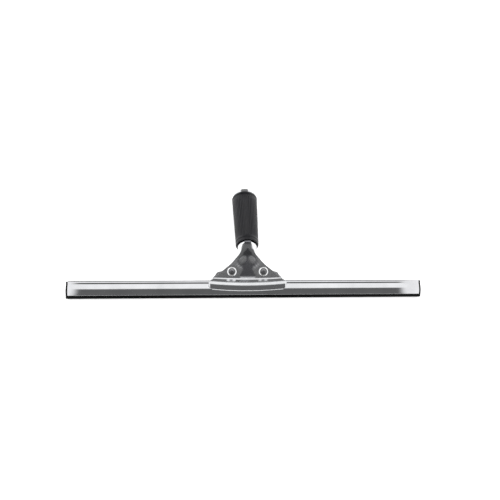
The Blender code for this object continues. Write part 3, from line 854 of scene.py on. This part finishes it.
@dataclass
class BentHandle:
    """The polished tube, pressed flat at its neck, and the ribbed rubber grip."""

    finishes: Finishes
    sizes: HandleSizes = HANDLE
    round_steps: int = 96

    def build(self) -> None:
        """Build the tube and the grip."""
        self.tube()
        self.grip()

    def sections(self) -> list[tuple[float, ...]]:
        """Return sections from the tongue to the tube: y, z, lean, half width, half depth, squareness."""
        size = self.sizes
        half = CLAMP.tongue / 2
        low = BLADE.top + CLAMP.screw_height + 1.0 * MM
        bend = size.bend_point
        wide = size.tongue_half_width
        made = [
            (low, 0.0, 0.0, wide, half, 5.0),
            (bend.y - 11.5 * MM, 0.0, 0.0, wide, half, 5.0),
        ]
        growth = (
            (-6.5, -0.6, 0.25, 0.45, 0.11, 3.0),
            (-3.0, -1.2, 0.56, 0.80, 0.39, 2.4),
            (0.0, -1.4, 0.84, 0.97, 0.69, 2.15),
        )
        for along, out, lean, width_share, depth_share, squareness in growth:
            width = wide + (size.radius - wide) * width_share
            depth = half + (size.radius - size.flat / 2 - half) * depth_share
            made.append((bend.y + along * MM, out * MM, size.bend * lean, width, depth, squareness))
        for along, share in ((3.0 * MM, 1.0), (size.tip_place + 1.0 * MM, 0.9)):
            radius = size.tube(along)
            flat = size.flat / 2 * share
            centre = size.point(along, 0.1 * MM - flat)
            made.append((centre.y, centre.z, size.bend, radius, radius - flat, 2.0))
        return made

    def tube(self) -> None:
        """The tube: rings drawn up from the tongue, round at its end and down the inside of the socket."""
        size = self.sizes
        rings = smooth_through(self.sections()[1:], 5)
        rings = [Vector(self.sections()[0]), *rings]
        outside = (size.socket_start / MM, 30.0, 50.0, 70.0, (size.length - size.edge_round) / MM)
        bores = [(along * MM, size.tube(along * MM)) for along in outside]
        rim = size.end_radius
        edge = size.edge_round
        bores += [(size.length, rim - edge), (size.length, rim - size.wall + edge)]
        bores += [(size.length - edge, rim - size.wall)]
        inside = (70.0, 50.0, 30.0)
        bores += [(along * MM, size.tube(along * MM) - size.wall) for along in inside]
        bores += [(size.socket_start, size.tube(size.socket_start) - size.wall)]
        bores += [(size.socket_start - 0.6 * MM, size.radius * 0.5)]
        for along, radius in bores:
            centre = size.point(along, 0.0)
            rings.append(Vector((centre.y, centre.z, size.bend, radius, radius, 2.0)))
        bm = bmesh.new()
        bmesh.ops.create_circle(bm, cap_ends=True, segments=self.round_steps, radius=1.0)
        loop = sorted(bm.verts, key=lambda v: math.atan2(v.co.y, v.co.x))
        angles = [math.atan2(v.co.y, v.co.x) for v in loop]
        self.shape_ring(loop, angles, rings[0])
        edges = list(bm.edges)
        for ring in rings[1:]:
            made = bmesh.ops.extrude_edge_only(bm, edges=edges)["geom"]
            verts = {g for g in made if isinstance(g, bmesh.types.BMVert)}
            edges = [
                g for g in made if isinstance(g, bmesh.types.BMEdge) and verts.issuperset(g.verts)
            ]
            loop = [next(e.other_vert(v) for e in v.link_edges if e.other_vert(v) in verts) for v in loop]
            self.shape_ring(loop, angles, ring)
        bmesh.ops.holes_fill(bm, edges=edges, sides=0)
        piece = to_object(bm, "handle_shell")
        dress(piece, self.finishes.tube, Body.HANDLE.value, "handle_tube")

    @staticmethod
    def shape_ring(loop: Sequence[bmesh.types.BMVert], angles: Sequence[float], ring: Vector) -> None:
        """Put a ring's vertices on its section.

        Args:
            loop: The ring's vertices in order.
            angles: Each vertex's angle.
            ring: The section's y, z, lean, half width, half depth and squareness.
        """
        y, z, lean, width, depth, squareness = ring
        front = Vector((0.0, math.sin(lean), math.cos(lean)))
        power = 2 / squareness
        for vert, angle in zip(loop, angles):
            across = math.copysign(abs(math.cos(angle)) ** power, math.cos(angle)) * width
            out = math.copysign(abs(math.sin(angle)) ** power, math.sin(angle)) * depth
            vert.co = Vector((across, y, z)) + front * out

    def rise(self, along: float) -> float:
        """Return how far the collars stand out at this distance from the nearer end of the grip."""
        size = self.sizes
        stations = (
            (0.0, -0.10 * MM),
            (0.3 * MM, 0.22 * MM),
            (0.9 * MM, size.collar_rise * 0.8),
            (1.9 * MM, size.collar_rise * 0.8),
            (3.0 * MM, size.collar_rise * 0.8),
            (3.5 * MM, -0.35 * MM),
            (4.2 * MM, -0.35 * MM),
            (4.7 * MM, size.collar_rise * 0.75),
            (5.7 * MM, size.collar_rise * 0.75),
            (size.collar_length + 0.5 * MM, size.rib_rise),
        )
        for (start, low), (end, high) in zip(stations, stations[1:]):
            if along <= end:
                return low + (high - low) * smooth_step(along, start, end)
        return size.rib_rise

    def grip(self) -> None:
        """The sleeve: turned with its collars, then ribbed lengthways between them."""
        size = self.sizes
        near = [i * 0.25 * MM for i in range(28)]
        middle = [8.0 * MM + i * 4.0 * MM for i in range(17)]
        stations = near + middle + [size.grip_length - along for along in reversed(near)]
        outer = []
        for along in stations:
            base = size.tube(size.grip_start + along) + CLEARANCE + size.grip_wall
            edge = min(along, size.grip_length - along)
            outer.append((base + self.rise(edge), size.grip_start + along))
        bores = [size.grip_start + size.grip_length - 0.3 * MM, size.grip_start + 0.3 * MM]
        inner = [(size.tube(along) + CLEARANCE, along) for along in bores]
        inner = [
            (inner[0][0] + size.edge_round, size.grip_start + size.grip_length),
            *inner,
            (inner[1][0] + size.edge_round, size.grip_start),
        ]
        bm = turned(outer + inner, size.ribs * 8, closed=True)
        low = size.grip_start + size.collar_length
        high = size.grip_start + size.grip_length - size.collar_length
        for vert in bm.verts:
            radius = math.hypot(vert.co.x, vert.co.y)
            along = vert.co.z
            if radius < size.tube(along) + size.grip_wall * 0.8:
                continue
            window = smooth_step(along, low, low + 2.5 * MM) * smooth_step(-along, -high, 2.5 * MM - high)
            wave = math.cos(math.atan2(vert.co.y, vert.co.x) * size.ribs)
            groove = (0.5 - 0.5 * wave) ** 1.6 * size.rib_depth * window
            vert.co.xy *= (radius - groove) / radius
        piece = to_object(bm, "ribbed_grip", size.matrix())
        dress(piece, self.finishes.grip, Body.HANDLE.value, "grip_sleeve")


# ---------------------------------------------------------------- jaw

# The roll's section: height above the channel's top in mm, and the share of the crown's depth.
ROLL_SHAPE = (
    (-11.0, 0.667),
    (-10.2, 0.784),
    (-9.0, 0.882),
    (-7.6, 0.951),
    (-6.2, 0.990),
    (-5.0, 1.000),
    (-4.0, 0.986),
    (-3.0, 0.937),
    (-2.0, 0.853),
    (-1.2, 0.765),
    (-0.6, 0.686),
    (-0.1, 0.598),
    (0.5, 0.461),
    (1.2, 0.294),
    (1.9, 0.137),
    (2.4, 0.069),
    (3.1, 0.015),
)
# The spade-shaped recess: height above the channel's top, and half width.
RECESS_OUTLINE = (
    (3.4 * MM, 9.4 * MM),
    (5.5 * MM, 10.0 * MM),
    (9.0 * MM, 8.2 * MM),
    (13.0 * MM, 6.4 * MM),
    (16.0 * MM, 7.2 * MM),
    (20.0 * MM, 12.0 * MM),
    (23.0 * MM, 13.2 * MM),
    (27.0 * MM, 10.6 * MM),
    (34.0 * MM, 5.6 * MM),
    (41.0 * MM, 1.0 * MM),
)


@dataclass
class ScrewJaw:
    """The two pressed sheets that clamp the channel, and the rubber strips inside their rolls."""

    finishes: Finishes
    handle: BentHandle
    sizes: ClampSizes = CLAMP
    columns: int = 150
    crowding: float = 1.25
    steps: int = 5
    pad_half_length: float = 41.0 * MM
    pad_thickness: float = 1.2 * MM
    screw_swing: float = 0.9 * MM
    tongue_widths: tuple[float, ...] = (9.6 * MM, 7.4 * MM, 5.2 * MM, 4.0 * MM)
    tip_width: float = 3.7 * MM
    ridge: tuple[float, float, float] = (8.8 * MM, 1.5 * MM, 0.09 * MM)
    recess_depth: float = 0.18 * MM
    dimple_rise: float = 0.20 * MM
    dimple_place: tuple[float, float] = (6.1 * MM, 25.6 * MM)
    dimple_size: tuple[float, float] = (6.6 * MM, 4.7 * MM)
    dimple_tilt: float = math.radians(52.0)
    bow_reach: float = 7.0 * MM
    neck_start: float = 4.0 * MM
    neck_curve: float = 22.0

    def build(self) -> None:
        """Build both sheets and both pads."""
        self.front_plate()
        self.rear_plate()
        self.pad("front_roll_pad", 1.0, Body.FRONT_JAW, "front_jaw_pad")
        self.pad("rear_roll_pad", -1.0, Body.HANDLE, "rear_jaw_pad")

    def roll(self, sheet: float, plane: float) -> list[tuple[float, float, float]]:
        """Return the roll over the channel, from its lip up to the fillet that meets the flat plate.

        Args:
            sheet: The sheet's thickness.
            plane: The depth of the flat plate above the roll.

        Returns:
            Height above the channel's top, depth and half length of each station.
        """
        lip = BLADE.half_depth + CLEARANCE + 0.3 * MM + sheet / 2
        crown = lip + self.sizes.swell * 0.68 - plane
        return [(h * MM, plane + crown * share, self.capsule(h * MM)) for h, share in ROLL_SHAPE]

    def capsule(self, height: float) -> float:
        """Return half the roll's length at this height: its ends are half circles."""
        radius = self.sizes.cap_radius
        away = min(abs(height - self.sizes.cap_middle), radius * 0.97)
        return self.sizes.half_length - radius + math.sqrt(radius**2 - away**2)

    def tongue(self) -> list[tuple[float, float, float]]:
        """Return the front sheet's stations over the neck, up to its tip under the grip's edge."""
        lift = (CLEARANCE + self.sizes.front_sheet / 2) * 1.2
        made = []
        for (y, z, lean, _, depth, _), width in zip(self.handle.sections()[2:6], self.tongue_widths):
            front = Vector((0.0, y + depth * math.sin(lean), z + depth * math.cos(lean)))
            made.append((front.y - BLADE.top, front.z + lift, width))
        out = HANDLE.tube(HANDLE.tip_place) - HANDLE.flat + (CLEARANCE + self.sizes.front_sheet / 2) * 1.3
        tip = HANDLE.point(HANDLE.tip_place, out)
        return [*made, (tip.y - BLADE.top, tip.z, self.tip_width)]

    def recess(self, x: float, y: float) -> float:
        """Return 1 inside the pressed spade in the middle of the plate, and 0 outside it.

        Args:
            x: The place along the blade.
            y: The height above the channel's top.

        Returns:
            The share of the recess's depth.
        """
        if not RECESS_OUTLINE[0][0] < y < RECESS_OUTLINE[-1][0]:
            return 0.0
        half = 0.0
        for (low, narrow), (high, wide) in zip(RECESS_OUTLINE, RECESS_OUTLINE[1:]):
            if low <= y <= high:
                half = narrow + (wide - narrow) * smooth_step(y, low, high)
        ends = smooth_step(y, RECESS_OUTLINE[0][0], RECESS_OUTLINE[0][0] + 2.4 * MM)
        return smooth_step(half - abs(x), -1.3 * MM, 1.5 * MM) * ends

    def dimple(self, x: float, y: float) -> float:
        """Return the height, from 0 to 1, of the two oval swellings inside the recess."""
        cosine, sine = math.cos(self.dimple_tilt), math.sin(self.dimple_tilt)
        across = abs(x) - self.dimple_place[0]
        up = y - self.dimple_place[1]
        long = -across * cosine + up * sine
        short = across * sine + up * cosine
        away = math.hypot(long / self.dimple_size[0], short / self.dimple_size[1])
        return smooth_step(-away, -1.15, -0.5)

    def relief(self, x: float, y: float) -> float:
        """Return how far the plate is pressed forwards at this place.

        Args:
            x: The place along the blade.
            y: The height above the channel's top.

        Returns:
            The distance in metres, negative where it is pressed back.
        """
        away = math.hypot(abs(x) - self.sizes.screw_half_spacing, y - self.sizes.screw_height)
        radius, width, rise = self.ridge
        ridge = math.exp(-(((away - radius) / width) ** 2)) * rise
        ridge *= smooth_step(-abs(x), -19.0 * MM, -14.0 * MM) * smooth_step(y, 4.0 * MM, 7.0 * MM)
        pressed = -self.recess_depth * self.recess(x, y)
        swelling = self.dimple_rise * self.dimple(x, y)
        return ridge + pressed + swelling

    def sheet(
        self,
        name: str,
        stations: Sequence[Sequence[float]],
        thickness: float,
        side: float,
        bow: float,
        press: Callable[[float, float], float] | None,
    ) -> bpy.types.Object:
        """Form a sheet from a flat grid whose rows follow the stations.

        Args:
            name: The piece's name.
            stations: Height above the channel's top, depth and half width of each station.
            thickness: The sheet's thickness.
            side: 1 in front of the blade's plane, -1 behind it.
            bow: How far the roll's middle hangs below its ends.
            press: The relief pressed into the sheet.

        Returns:
            The sheet as an object.
        """
        rows = smooth_through(stations, self.steps)
        last = len(rows) - 1
        lip = BLADE.half_depth + CLEARANCE + thickness / 2 + 0.1 * MM
        length = self.sizes.half_length
        round_start = length - self.sizes.end_round
        bm = bmesh.new()
        bmesh.ops.create_grid(bm, x_segments=self.columns, y_segments=last, size=1.0)
        # The 'recess' attribute marks where shade is painted on the front sheet
        painted_shade_marks = bm.verts.layers.float.new("recess")
        for vert in bm.verts:
            height, depth, half_width = rows[round((vert.co.y + 1) / 2 * last)]
            x = math.sin(vert.co.x * self.crowding) / math.sin(self.crowding) * half_width
            if height < 0 and abs(x) > round_start and depth > lip:
                past = (abs(x) - round_start) / self.sizes.end_round
                depth = lip + (depth - lip) * math.sqrt(1.0 - 0.94 * past**2)
            fade = min(max(1.0 - height / self.bow_reach, 0.0), 1.0)
            bowed = bow * fade * (1.0 - (x / length) ** 2)
            above = max(height - HANDLE.bend_height + self.neck_start, 0.0)
            if press:
                depth -= min(above / self.neck_start, 1.0) * self.neck_curve * x**2
                depth += press(x, height)
                # Painted shade: the pressed recess less its two swellings, which keep the sheet's lighter
                # colour, and the tongue from 44.5 mm up, darkened over the bright reflection of its bend
                painted_recess_shade = self.recess(x, height) * (1.0 - self.dimple(x, height))
                vert[painted_shade_marks] = max(painted_recess_shade, smooth_step(height, 44.5 * MM, 47.0 * MM))
            vert.co = (x, BLADE.top + height - bowed, side * depth)
        self.open_holes(bm, press is not None)
        piece = to_object(bm, name)
        add_sheet(piece, thickness, 0.0, 0.28 * MM)
        return piece

    def open_holes(self, bm: bmesh.types.BMesh, front: bool) -> None:
        """Open the screw and rivet holes of a sheet and round their edges.

        Args:
            bm: The sheet's surface in the blade's frame.
            front: Whether it is the front sheet, whose screw holes are wider and which has no rivets.
        """
        radius = self.sizes.shank + (self.screw_swing if front else CLEARANCE)
        height = BLADE.top + self.sizes.screw_height
        holes = [(side.value * self.sizes.screw_half_spacing, height, radius) for side in Side]
        if not front:
            rivet = self.sizes.rivet + CLEARANCE
            holes += [(0.0, BLADE.top + y, rivet) for y in self.sizes.rivet_heights]
        for x, y, radius in holes:
            inside = [
                face
                for face in bm.faces
                if math.hypot(face.calc_center_median().x - x, face.calc_center_median().y - y) < radius
            ]
            rim = {v for f in inside for v in f.verts if any(g not in inside for g in v.link_faces)}
            bmesh.ops.delete(bm, geom=inside, context="FACES")
            for vert in rim:
                away = Vector((vert.co.x - x, vert.co.y - y)).normalized() * radius
                vert.co.x, vert.co.y = x + away.x, y + away.y

    def front_plate(self) -> None:
        """The front sheet, with its spade-shaped recess, its two swellings and a ridge round each screw."""
        plane = self.sizes.front_plane
        plate = [
            (4.2 * MM, plane, 41.6 * MM),
            (5.8 * MM, plane, 39.0 * MM),
            (self.sizes.screw_height, plane, 33.6 * MM),
            (20.0 * MM, plane, 22.0 * MM),
            (29.5 * MM, plane, 13.4 * MM),
        ]
        stations = self.roll(self.sizes.front_sheet, plane) + plate + self.tongue()
        piece = self.sheet(
            "front_plate", stations, self.sizes.front_sheet, 1.0, self.sizes.bow, self.relief
        )
        dress(piece, self.finishes.plate, Body.FRONT_JAW.value, "front_clamp_plate")

    def rear_plate(self) -> None:
        """The rear sheet, whose shoulders stand past the front sheet's flanks."""
        plane = self.sizes.rear_plane
        plate = [
            (4.2 * MM, plane, 43.2 * MM),
            (6.4 * MM, plane, 41.0 * MM),
            (self.sizes.screw_height - 0.4 * MM, plane, 38.0 * MM),
            (self.sizes.screw_height + 2.2 * MM, plane, 29.6 * MM),
            (20.0 * MM, plane, 20.0 * MM),
            (HANDLE.bend_height - 12.0 * MM, plane, 9.0 * MM),
        ]
        stations = self.roll(self.sizes.rear_sheet, plane) + plate
        piece = self.sheet("rear_plate", stations, self.sizes.rear_sheet, -1.0, 0.0, None)
        dress(piece, self.finishes.rear, Body.HANDLE.value, "rear_jaw_plate")

    def pad(self, name: str, side: float, body: Body, node: str) -> None:
        """A rubber strip that fills the space between a roll and the channel.

        Args:
            name: The piece's name.
            side: 1 in front of the channel, -1 behind it.
            body: The body that it rides on.
            node: The CAD node that it replaces.
        """
        inner, outer = [], []
        for height, share in ((-9.8, 0.45), (-8.0, 1.0), (-6.4, 0.95), (-5.3, 0.35)):
            y = BLADE.top + height * MM
            depth = BLADE.bulge(y) + CLEARANCE + 0.15 * MM
            inner.append((y, side * depth))
            outer.append((y, side * (depth + self.pad_thickness * share)))
        bm = bar(inner + list(reversed(outer)), self.pad_half_length)
        soften(bm, 0.2 * MM, 2, 40.0)
        dress(to_object(bm, name), self.finishes.blade, body.value, node)


# ---------------------------------------------------------------- fasteners


@dataclass
class Fasteners:
    """The clamp screws in their cups, the lock washers and nuts behind, and the neck's rivets."""

    finishes: Finishes
    sizes: ClampSizes = CLAMP
    head_height: float = 1.7 * MM
    behind: float = 10.5 * MM
    pitch: float = 0.8 * MM
    washer_radius: float = 4.6 * MM
    washer_thickness: float = 1.2 * MM
    nut_flats: float = 8.0 * MM
    nut_thickness: float = 4.0 * MM
    rivet_head: float = 3.6 * MM
    rivet_head_height: float = 1.5 * MM

    def build(self) -> None:
        """Build every fastener."""
        for side in Side:
            self.cup(side)
            self.screw(side)
            self.lock_washer(side)
            self.nut(side)
        for height, word in zip(self.sizes.rivet_heights, ("lower", "upper")):
            self.rivet(height, word)

    def at(self, side: Side, depth: float) -> Matrix:
        """Return the place of a piece on a screw's axis, at this depth."""
        x = side.value * self.sizes.screw_half_spacing
        return Matrix.Translation((x, BLADE.top + self.sizes.screw_height, depth))

    def cup(self, side: Side) -> None:
        """The bright cup washer, a rolled ring with the screw's head sunk in it.

        Args:
            side: Which screw it belongs to.
        """
        outer = self.sizes.cup
        hole = self.sizes.shank + CLEARANCE
        inner = self.sizes.head + CLEARANCE
        high = self.sizes.cup_height
        floor = self.sizes.cup_floor
        crown = [
            (inner, high * 0.86),
            (inner + 0.12 * MM, high * 0.97),
            (inner + 0.34 * MM, high),
            (outer - 0.85 * MM, high * 0.93),
            (outer - 0.32 * MM, high * 0.78),
            (outer - 0.06 * MM, high * 0.56),
            (outer, high * 0.34),
        ]
        crown = [tuple(p) for p in smooth_through(crown, 4)]
        foot = [(outer, 0.15 * MM), (outer - 0.15 * MM, 0.0), (hole, 0.0), (hole, floor), (inner, floor)]
        bm = turned([*crown, *foot], 96, closed=True)
        piece = to_object(bm, f"cup_ring_{side.word}", self.at(side, self.sizes.cup_seat))
        body = f"{side.word}_cup_washer"
        dress(piece, self.finishes.cup, body, f"cup_washer_{side.word}")

    def screw(self, side: Side) -> None:
        """A domed screw with a cross recess in its head and a cut thread on its shank.

        Args:
            side: Which screw it is.
        """
        head = self.sizes.head - 0.35 * MM
        shank = self.sizes.shank
        seat = self.sizes.cup_floor + CLEARANCE
        top = seat + self.head_height
        drop = self.head_height * 0.62
        dome = [(head * 0.94 * i / 10, top - drop * 0.30 * (i / 10) ** 2) for i in range(11)]
        dome += [(head * 0.985, top - drop * 0.5), (head, top - drop)]
        tail = -(self.sizes.cup_seat + self.behind)
        thread = []
        depth = 0.22 * MM
        turns = int((seat - tail - 2.2 * MM) / self.pitch)
        start = seat - 1.4 * MM
        for i in range(turns):
            z = start - i * self.pitch
            thread += [(shank, z), (shank - depth, z - self.pitch * 0.5)]
        profile = [*dome, (head, seat), (shank, seat), *thread, (shank - 0.6 * MM, tail), (0.0, tail)]
        piece = to_object(turned(profile, 64), f"jaw_screw_{side.word}", self.at(side, self.sizes.cup_seat))
        self.cross_recess(piece, side, top)
        body = f"{side.word}_screw"
        dress(piece, self.finishes.screw, body, f"clamp_screw_{side.word}")

    def cross_recess(self, piece: bpy.types.Object, side: Side, top: float) -> None:
        """Sink a tapered cross recess into a screw's head.

        Args:
            piece: The screw.
            side: Which screw it is.
            top: The head's height above the cup's seat.
        """
        place = self.at(side, self.sizes.cup_seat + top) @ Matrix.Rotation(math.radians(14.0), 4, "Z")
        for across, along in ((4.7 * MM, 0.95 * MM), (0.95 * MM, 4.7 * MM)):
            bm = bmesh.new()
            bmesh.ops.create_cube(bm, size=1.0)
            bmesh.ops.scale(bm, vec=(across, along, 2.6 * MM), verts=bm.verts)
            for vert in bm.verts:
                if vert.co.z < 0:
                    vert.co.x *= 0.42 if across > along else 0.7
                    vert.co.y *= 0.42 if along > across else 0.7
            carve(piece, to_object(bm, "recess_arm", place))
        bm = bmesh.new()
        bmesh.ops.create_cone(
            bm, cap_ends=True, segments=24, radius1=0.5 * MM, radius2=1.25 * MM, depth=2.4 * MM
        )
        carve(piece, to_object(bm, "recess_core", place))

    def lock_washer(self, side: Side) -> None:
        """A split spring washer: a square section spun almost round, its ends standing slightly apart.

        Args:
            side: Which screw it belongs to.
        """
        hole = self.sizes.shank + CLEARANCE
        outer = self.washer_radius
        low = -self.washer_thickness
        bm = bmesh.new()
        corners = [(outer, 0.0, 0.0), (outer, 0.0, low), (hole, 0.0, low), (hole, 0.0, 0.0)]
        edges = section_line(bm, corners, closed=True)
        gap = math.radians(9.0)
        bmesh.ops.rotate(
            bm, verts=bm.verts, cent=(0.0, 0.0, 0.0), matrix=Matrix.Rotation(gap / 2, 3, "Z")
        )
        bmesh.ops.spin(
            bm,
            geom=[*bm.verts, *edges],
            axis=(0.0, 0.0, 1.0),
            cent=(0.0, 0.0, 0.0),
            angle=2 * math.pi - gap,
            steps=60,
        )
        bmesh.ops.holes_fill(bm, edges=[e for e in bm.edges if e.is_boundary], sides=4)
        soften(bm, 0.12 * MM, 2, 50.0)
        piece = to_object(bm, f"spring_washer_{side.word}", self.at(side, -self.sizes.washer_top))
        node = f"lock_washer_{side.word}"
        dress(piece, self.finishes.fastener, Body.HANDLE.value, node)

    def nut(self, side: Side) -> None:
        """A hexagon nut with chamfered corners and a countersunk bore.

        Args:
            side: Which screw it belongs to.
        """
        corner = self.nut_flats / math.sqrt(3.0)
        half = self.nut_thickness / 2
        top = self.sizes.washer_top + self.washer_thickness + CLEARANCE
        place = self.at(side, -(top + half))
        bm = bmesh.new()
        bmesh.ops.create_cone(
            bm, cap_ends=True, segments=6, radius1=corner, radius2=corner, depth=self.nut_thickness
        )
        piece = to_object(bm, f"hex_nut_{side.word}", place)
        flat = self.nut_flats / 2
        drop = (corner - flat) * math.tan(math.radians(30.0))
        lathe = [
            (0.0, half),
            (flat * 0.97, half),
            (corner, half - drop - 0.1 * MM),
            (corner, drop + 0.1 * MM - half),
            (flat * 0.97, -half),
            (0.0, -half),
        ]
        carve(piece, to_object(turned(lathe, 72), "chamfer", place), "INTERSECT")
        hole = self.sizes.shank + CLEARANCE
        reach = half + 1.0 * MM
        sink = 0.45 * MM
        bore = [
            (0.0, reach),
            (hole + sink + 1.0 * MM, reach),
            (hole, half - sink),
            (hole, sink - half),
            (hole + sink + 1.0 * MM, -reach),
            (0.0, -reach),
        ]
        carve(piece, to_object(turned(bore, 48), "bore", place))
        node = f"clamp_nut_{side.word}"
        dress(piece, self.finishes.fastener, Body.HANDLE.value, node)

    def rivet(self, height: float, word: str) -> None:
        """A domed rivet through the rear sheet and the tongue.

        Args:
            height: Its height above the channel's top.
            word: Which rivet it is.
        """
        under = -(self.sizes.rear_plane + self.sizes.rear_sheet / 2 + CLEARANCE)
        front = self.sizes.tongue / 2
        dome = [
            (self.rivet_head * math.cos(a), under - self.rivet_head_height * math.sin(a))
            for a in (math.pi / 2 * i / 12 for i in range(13))
        ]
        shank = self.sizes.rivet
        profile = [(0.0, front), (shank, front), (shank, under), *dome]
        place = Matrix.Translation((0.0, BLADE.top + height, 0.0))
        piece = to_object(turned(profile, 64), f"dome_rivet_{word}", place)
        node = f"neck_rivet_{word}"
        dress(piece, self.finishes.fastener, Body.HANDLE.value, node)


# ---------------------------------------------------------------- studio


@dataclass
class Studio:
    """A white floor, a light tent with a dark front, and the camera."""

    floor_half: float = 3.0
    camera_distance: float = 0.750
    camera_lens: float = 42.33
    target: tuple[float, float, float] = (3.42 * MM, 60.8 * MM, 0.0)
    lean: float = math.radians(3.9)
    yaw: float = math.radians(-5.0)
    roll: float = math.radians(-0.03)
    tent: float = 1.42
    front_shade: tuple[tuple[float, float], ...] = (
        (0.0, 0.13),
        (0.36, 0.12),
        (0.405, 0.17),
        (0.432, 1.0),
        (0.705, 1.0),
        (0.728, 0.17),
        (1.0, 0.17),
    )
    side_start: float = 0.41
    side_end: float = 0.54

    def build(self) -> None:
        """Build the floor, the light and the camera."""
        bpy.context.scene.view_settings.view_transform = "Standard"
        self.floor()
        self.light_tent()
        self.camera()

    def floor(self) -> None:
        """A large pale floor with a faint paper tooth."""
        bm = bmesh.new()
        bmesh.ops.create_grid(bm, x_segments=4, y_segments=4, size=self.floor_half)
        bmesh.ops.translate(bm, verts=bm.verts, vec=(0.0, 0.0, -PAPER_DROP))
        floor = linked(bm, "paper_floor")
        shader = Shader("white_paper")
        tooth = shader.noise(700.0)
        shader.feed("Base Color", shader.mixed(tooth, (0.93, 0.93, 0.93), (0.95, 0.95, 0.95)))
        shader.set(Roughness=0.9, Specular_IOR_Level=0.05, Emission_Strength=0.55)
        shader.principled.inputs["Emission Color"].default_value = (1.0, 1.0, 1.0, 1.0)
        floor.data.materials.append(shader.material)

    def light_tent(self) -> None:
        """A white tent with a dark opening on the camera's side, and a plain white background."""
        world = bpy.data.worlds.new("light_tent")
        bpy.context.scene.world = world
        world.use_nodes = True
        nodes, links = world.node_tree.nodes, world.node_tree.links
        background = nodes["Background"]

        def math_node(operation: str, *values: object) -> bpy.types.NodeSocket:
            """Add a maths node fed by numbers or sockets."""
            node = nodes.new("ShaderNodeMath")
            node.operation = operation
            for socket, value in zip(node.inputs, values):
                if isinstance(value, (int, float)):
                    socket.default_value = value
                else:
                    links.new(value, socket)
            return node.outputs[0]

        split = nodes.new("ShaderNodeSeparateXYZ")
        links.new(nodes.new("ShaderNodeTexCoord").outputs["Generated"], split.inputs[0])
        x, y, z = split.outputs
        over = math_node("ARCTAN2", z, math_node("MULTIPLY", y, -1.0))
        share = math_node("DIVIDE", over, math.pi)
        ramp = nodes.new("ShaderNodeValToRGB")
        ramp.color_ramp.interpolation = "EASE"
        stops = ramp.color_ramp.elements
        while len(stops) < len(self.front_shade):
            stops.new(0.5)
        for stop, (place, value) in zip(stops, self.front_shade):
            stop.position = place
            stop.color = (value, value, value, 1.0)
        links.new(share, ramp.inputs["Fac"])
        aside = nodes.new("ShaderNodeMapRange")
        aside.interpolation_type = "SMOOTHSTEP"
        aside.inputs["From Min"].default_value = self.side_start
        aside.inputs["From Max"].default_value = self.side_end
        links.new(math_node("ABSOLUTE", x), aside.inputs["Value"])
        level = nodes.new("ShaderNodeMix")
        links.new(aside.outputs["Result"], level.inputs["Factor"])
        links.new(ramp.outputs["Color"], level.inputs[MIX_FLOAT_A])
        level.inputs[MIX_FLOAT_B].default_value = 1.0
        tent = math_node("MULTIPLY", level.outputs[0], self.tent)
        seen = nodes.new("ShaderNodeLightPath").outputs["Is Camera Ray"]
        shown = nodes.new("ShaderNodeMix")
        links.new(seen, shown.inputs["Factor"])
        links.new(tent, shown.inputs[MIX_FLOAT_A])
        shown.inputs[MIX_FLOAT_B].default_value = 1.0
        links.new(shown.outputs[0], background.inputs["Strength"])
        background.inputs["Color"].default_value = (1.0, 1.0, 1.0, 1.0)

    def camera(self) -> None:
        """The camera, square to the jaw but for a small lean and yaw."""
        right = Vector((1.0, 0.0, 0.0))
        up = Vector((0.0, math.cos(self.lean), math.sin(self.lean)))
        back = Vector((0.0, -math.sin(self.lean), math.cos(self.lean)))
        right, back = (
            math.cos(self.yaw) * right - math.sin(self.yaw) * back,
            math.sin(self.yaw) * right + math.cos(self.yaw) * back,
        )
        right, up = (
            math.cos(self.roll) * right - math.sin(self.roll) * up,
            math.sin(self.roll) * right + math.cos(self.roll) * up,
        )
        turn = Matrix((right, up, back)).transposed().to_4x4()
        place = Matrix.Translation(Vector(self.target) + self.camera_distance * back)
        data = bpy.data.cameras.new("camera")
        data.lens = self.camera_lens
        data.clip_start = 0.01
        camera = bpy.data.objects.new("camera", data)
        bpy.context.scene.collection.objects.link(camera)
        camera.matrix_world = TO_WORLD @ place @ turn
        bpy.context.scene.camera = camera


def main() -> None:
    """Build every sub-assembly and the studio."""
    logging.basicConfig(level=logging.INFO, format="%(name)s: %(message)s")
    finishes = Finishes()
    handle = BentHandle(finishes)
    WipingBlade(finishes).build()
    handle.build()
    ScrewJaw(finishes, handle).build()
    Fasteners(finishes).build()
    Studio().build()


if __name__ == "__main__":
    main()
